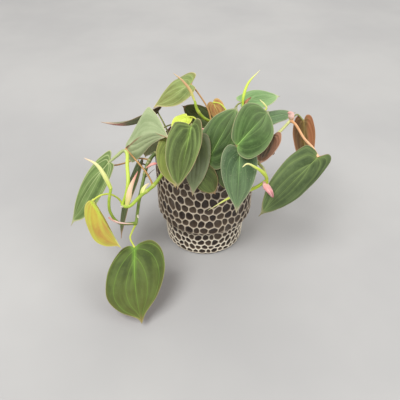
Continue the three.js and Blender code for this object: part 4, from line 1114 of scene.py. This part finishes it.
def frames_of(line):
    """Two directions across the line at each of its points, without twist."""
    tangent = unit(np.gradient(line, axis=0))
    normals = [unit(np.cross(tangent[0], (0.3, 0.2, 1.0)))]
    for way in tangent[1:]:
        normals.append(unit(normals[-1] - way * (normals[-1] @ way)))
    return np.array(normals), np.cross(tangent, normals)


def add_bar(shape, line, radii, look=0, sides=STEM_SIDES, section=None, twist=0, nodes=None):
    """A closed bar. section scales the radius round it, and twist turns that along its length."""
    count = len(line)
    first, second = frames_of(line)
    radii, share = radii[:, None], np.linspace(0, 1, count)[:, None]
    around = np.arange(sides) / sides * TURN
    scale = np.array([section(angle) if section else (1, 1) for angle in around])
    across, up = turned(radii * np.cos(around) * scale[:, 0], radii * np.sin(around) * scale[:, 1],
                        twist * share * TURN)
    offsets = first[:, None] * across[..., None] + second[:, None] * up[..., None]
    points = np.vstack([(line[:, None] + offsets).reshape(-1, 3), line[:1], line[-1:]])
    marks = np.zeros(count) if nodes is None else nodes
    lowest = -offsets[..., 2] / np.maximum(radii, 0.01)
    side = around / TURN if section else lowest
    growth = np.stack(np.broadcast_arrays(share, marks[:, None], side * np.ones((count, 1))), -1)
    growth = np.vstack([growth.reshape(-1, 3), [[0, marks[0], 0], [1, marks[-1], 0]]])
    shape.add(points, closed(count, sides), look, growth=growth)


def vine_piece(name, radii, skin, stem, stalks, looks):
    """A stem with its swollen nodes and air roots, and the stalks that run to its leaves."""
    shape = Shape()
    line = smooth_line(stem)
    run = run_of(line)
    starts = [run[np.linalg.norm(line - path[0], axis=1).argmin()] for _, path, *_ in stalks]
    starts += list(np.arange(NODE_SPACING, run[-1] - 10, NODE_SPACING))
    marks, swell = (np.max([bell(run - at, length) for at in starts], axis=0)
                    for length in (NODE_RING, NODE_LENGTH))
    low, high = radii
    widths = low + (high - low) * run / run[-1] + NODE_SWELL * swell
    widths[-len(STEM_END):] *= STEM_END
    add_bar(shape, line, widths, skin, nodes=marks)
    for vine, radius, root_skin, path in ROOTS:
        if vine == name:
            line = smooth_line(path, ROOT_SPACING)
            share = np.linspace(0, 1, len(line))
            add_bar(shape, line, radius * (1 - 0.75 * share ** 2), root_skin, ROOT_SIDES)
    for leaf, path, *width in stalks:
        line = smooth_line(path + ([LEAVES[leaf - 1][1]] if leaf else []))
        run = run_of(line)
        widths = 1 + STALK_FOOT * bell(run, FOOT_LENGTH) - (STALK_TAPER * run / run[-1] if leaf else 0)
        widths = (width[0] if width else PETIOLE_RADIUS) * widths
        if leaf:
            widths += STALK_TOP * bell(run - run[-1], TOP_LENGTH)
            add_bar(shape, line, widths, STALK_SKINS.get(leaf, 3), nodes=bell(run, FOOT_RING))
        else:
            add_bar(shape, line, widths, nodes=bell(run[-1] - run - 8, SHOOT_RING))
    shape.piece(name + "_growth", looks, name)


def rolled(angle):
    """A rolled leaf's section: it winds inwards to a step where its margin lies."""
    scale = 1 - 0.2 * angle / TURN
    return scale, scale


def papery(angle):
    """A sheath's section: flat, with a keel on one side and a groove on the other."""
    return 1 + 0.22 * bell(angle - math.pi, 0.35), 0.55 * (1 - 0.5 * bell(angle - 1.5 * math.pi, 0.5))


def shoot_piece(name, radius, skin, path, foot=0.75, swell=0.3, taper=None):
    """A rolled leaf or a sheath. It swells from the share foot of its radius over the share swell
    of its length, and narrows to its tip, the more slowly the smaller taper is."""
    new_leaf = name.startswith("new_leaf")
    line = smooth_line(path, SHOOT_SPACING)
    share = np.linspace(0, 1, len(line))
    rising = foot + (1 - foot) * smoothstep(0, swell, share)
    falling = np.clip((1 - share) / 0.7, 0, 1) ** (taper or (0.85 if new_leaf else 0.5))
    radii = np.maximum(radius * rising * falling, THINNEST)
    ring = bell(share - 0.03, 0.02)
    shape = Shape()
    if new_leaf:
        add_bar(shape, line, radii, 0, SHOOT_SIDES, rolled, 0.6, ring)
    else:
        add_bar(shape, line, radii * 1.05, 0, SHOOT_SIDES, papery, 0.12, ring)
    shape.piece(name + "_roll", [skin], name)


# Floor, lights and camera

def stage():
    bpy.ops.mesh.primitive_plane_add(size=FLOOR_SIZE)
    floor = bpy.context.object
    floor.name = "floor"
    look = Look("floor", Roughness=0.9, Specular_IOR_Level=0.2)
    look.set(Base_Color=look.mix(look.step(look.noise(3, 4), 0.3, 0.7), *FLOOR_COLOURS))
    floor.data.materials.append(look.material)


def add_object(name, data, place):
    item = bpy.data.objects.new(name, data)
    item.location = place
    bpy.context.scene.collection.objects.link(item)
    return item


def camera():
    lens = bpy.data.cameras.new("camera")
    lens.lens = CAMERA_LENS
    lens.sensor_width = SENSOR_WIDTH
    lens.clip_start = 0.02
    view = add_object("camera", lens, Vector(CAMERA_PLACE) * MM)
    view.rotation_euler = (math.radians(CAMERA_TURN), 0, 0)
    bpy.context.scene.camera = view


def studio():
    world = bpy.data.worlds.new("studio")
    bpy.context.scene.world = world
    world.use_nodes = True
    background = world.node_tree.nodes["Background"]
    background.inputs["Color"].default_value = DAYLIGHT
    background.inputs["Strength"].default_value = DAYLIGHT_STRENGTH
    for name, place, size, power in LIGHTS:
        light = bpy.data.lights.new(name, "AREA")
        light.size = size
        light.energy = power
        way = Vector(LIT_POINT) - Vector(place)
        add_object(name, light, place).rotation_euler = way.to_track_quat("-Z", "Y").to_euler()
    bpy.context.scene.view_settings.view_transform = "Standard"


camera()
stage()
studio()
pot_piece()
soil_piece()

uppers = {key: blade_upper("leaf_" + key, {**dict(zip(TONE_PARTS, tone)), **TONE_EXTRAS.get(key, {})})
          for key, tone in TONES.items()}
unders = {key: blade_under("underside_" + key, dict(zip(BACK_PARTS, tone)))
          for key, tone in BACKS.items()}
grid = blade_faces()
for index, (tone, *row) in enumerate(LEAVES, 1):
    blade_piece(index, row, *grid, [uppers[tone], unders[LEAF_BACKS.get(index, "copper")]])

stems = [stem_skin(*skin) for skin in STEM_SKINS]
for name, vine in VINES.items():
    vine_piece(name, *vine, stems)

rolls = {key: shoot_skin(*skin) for key, skin in SHOOT_SKINS.items()}
for name, radius, tone, path, form in SHOOTS:
    shoot_piece(name, radius, rolls[tone], path, **form)
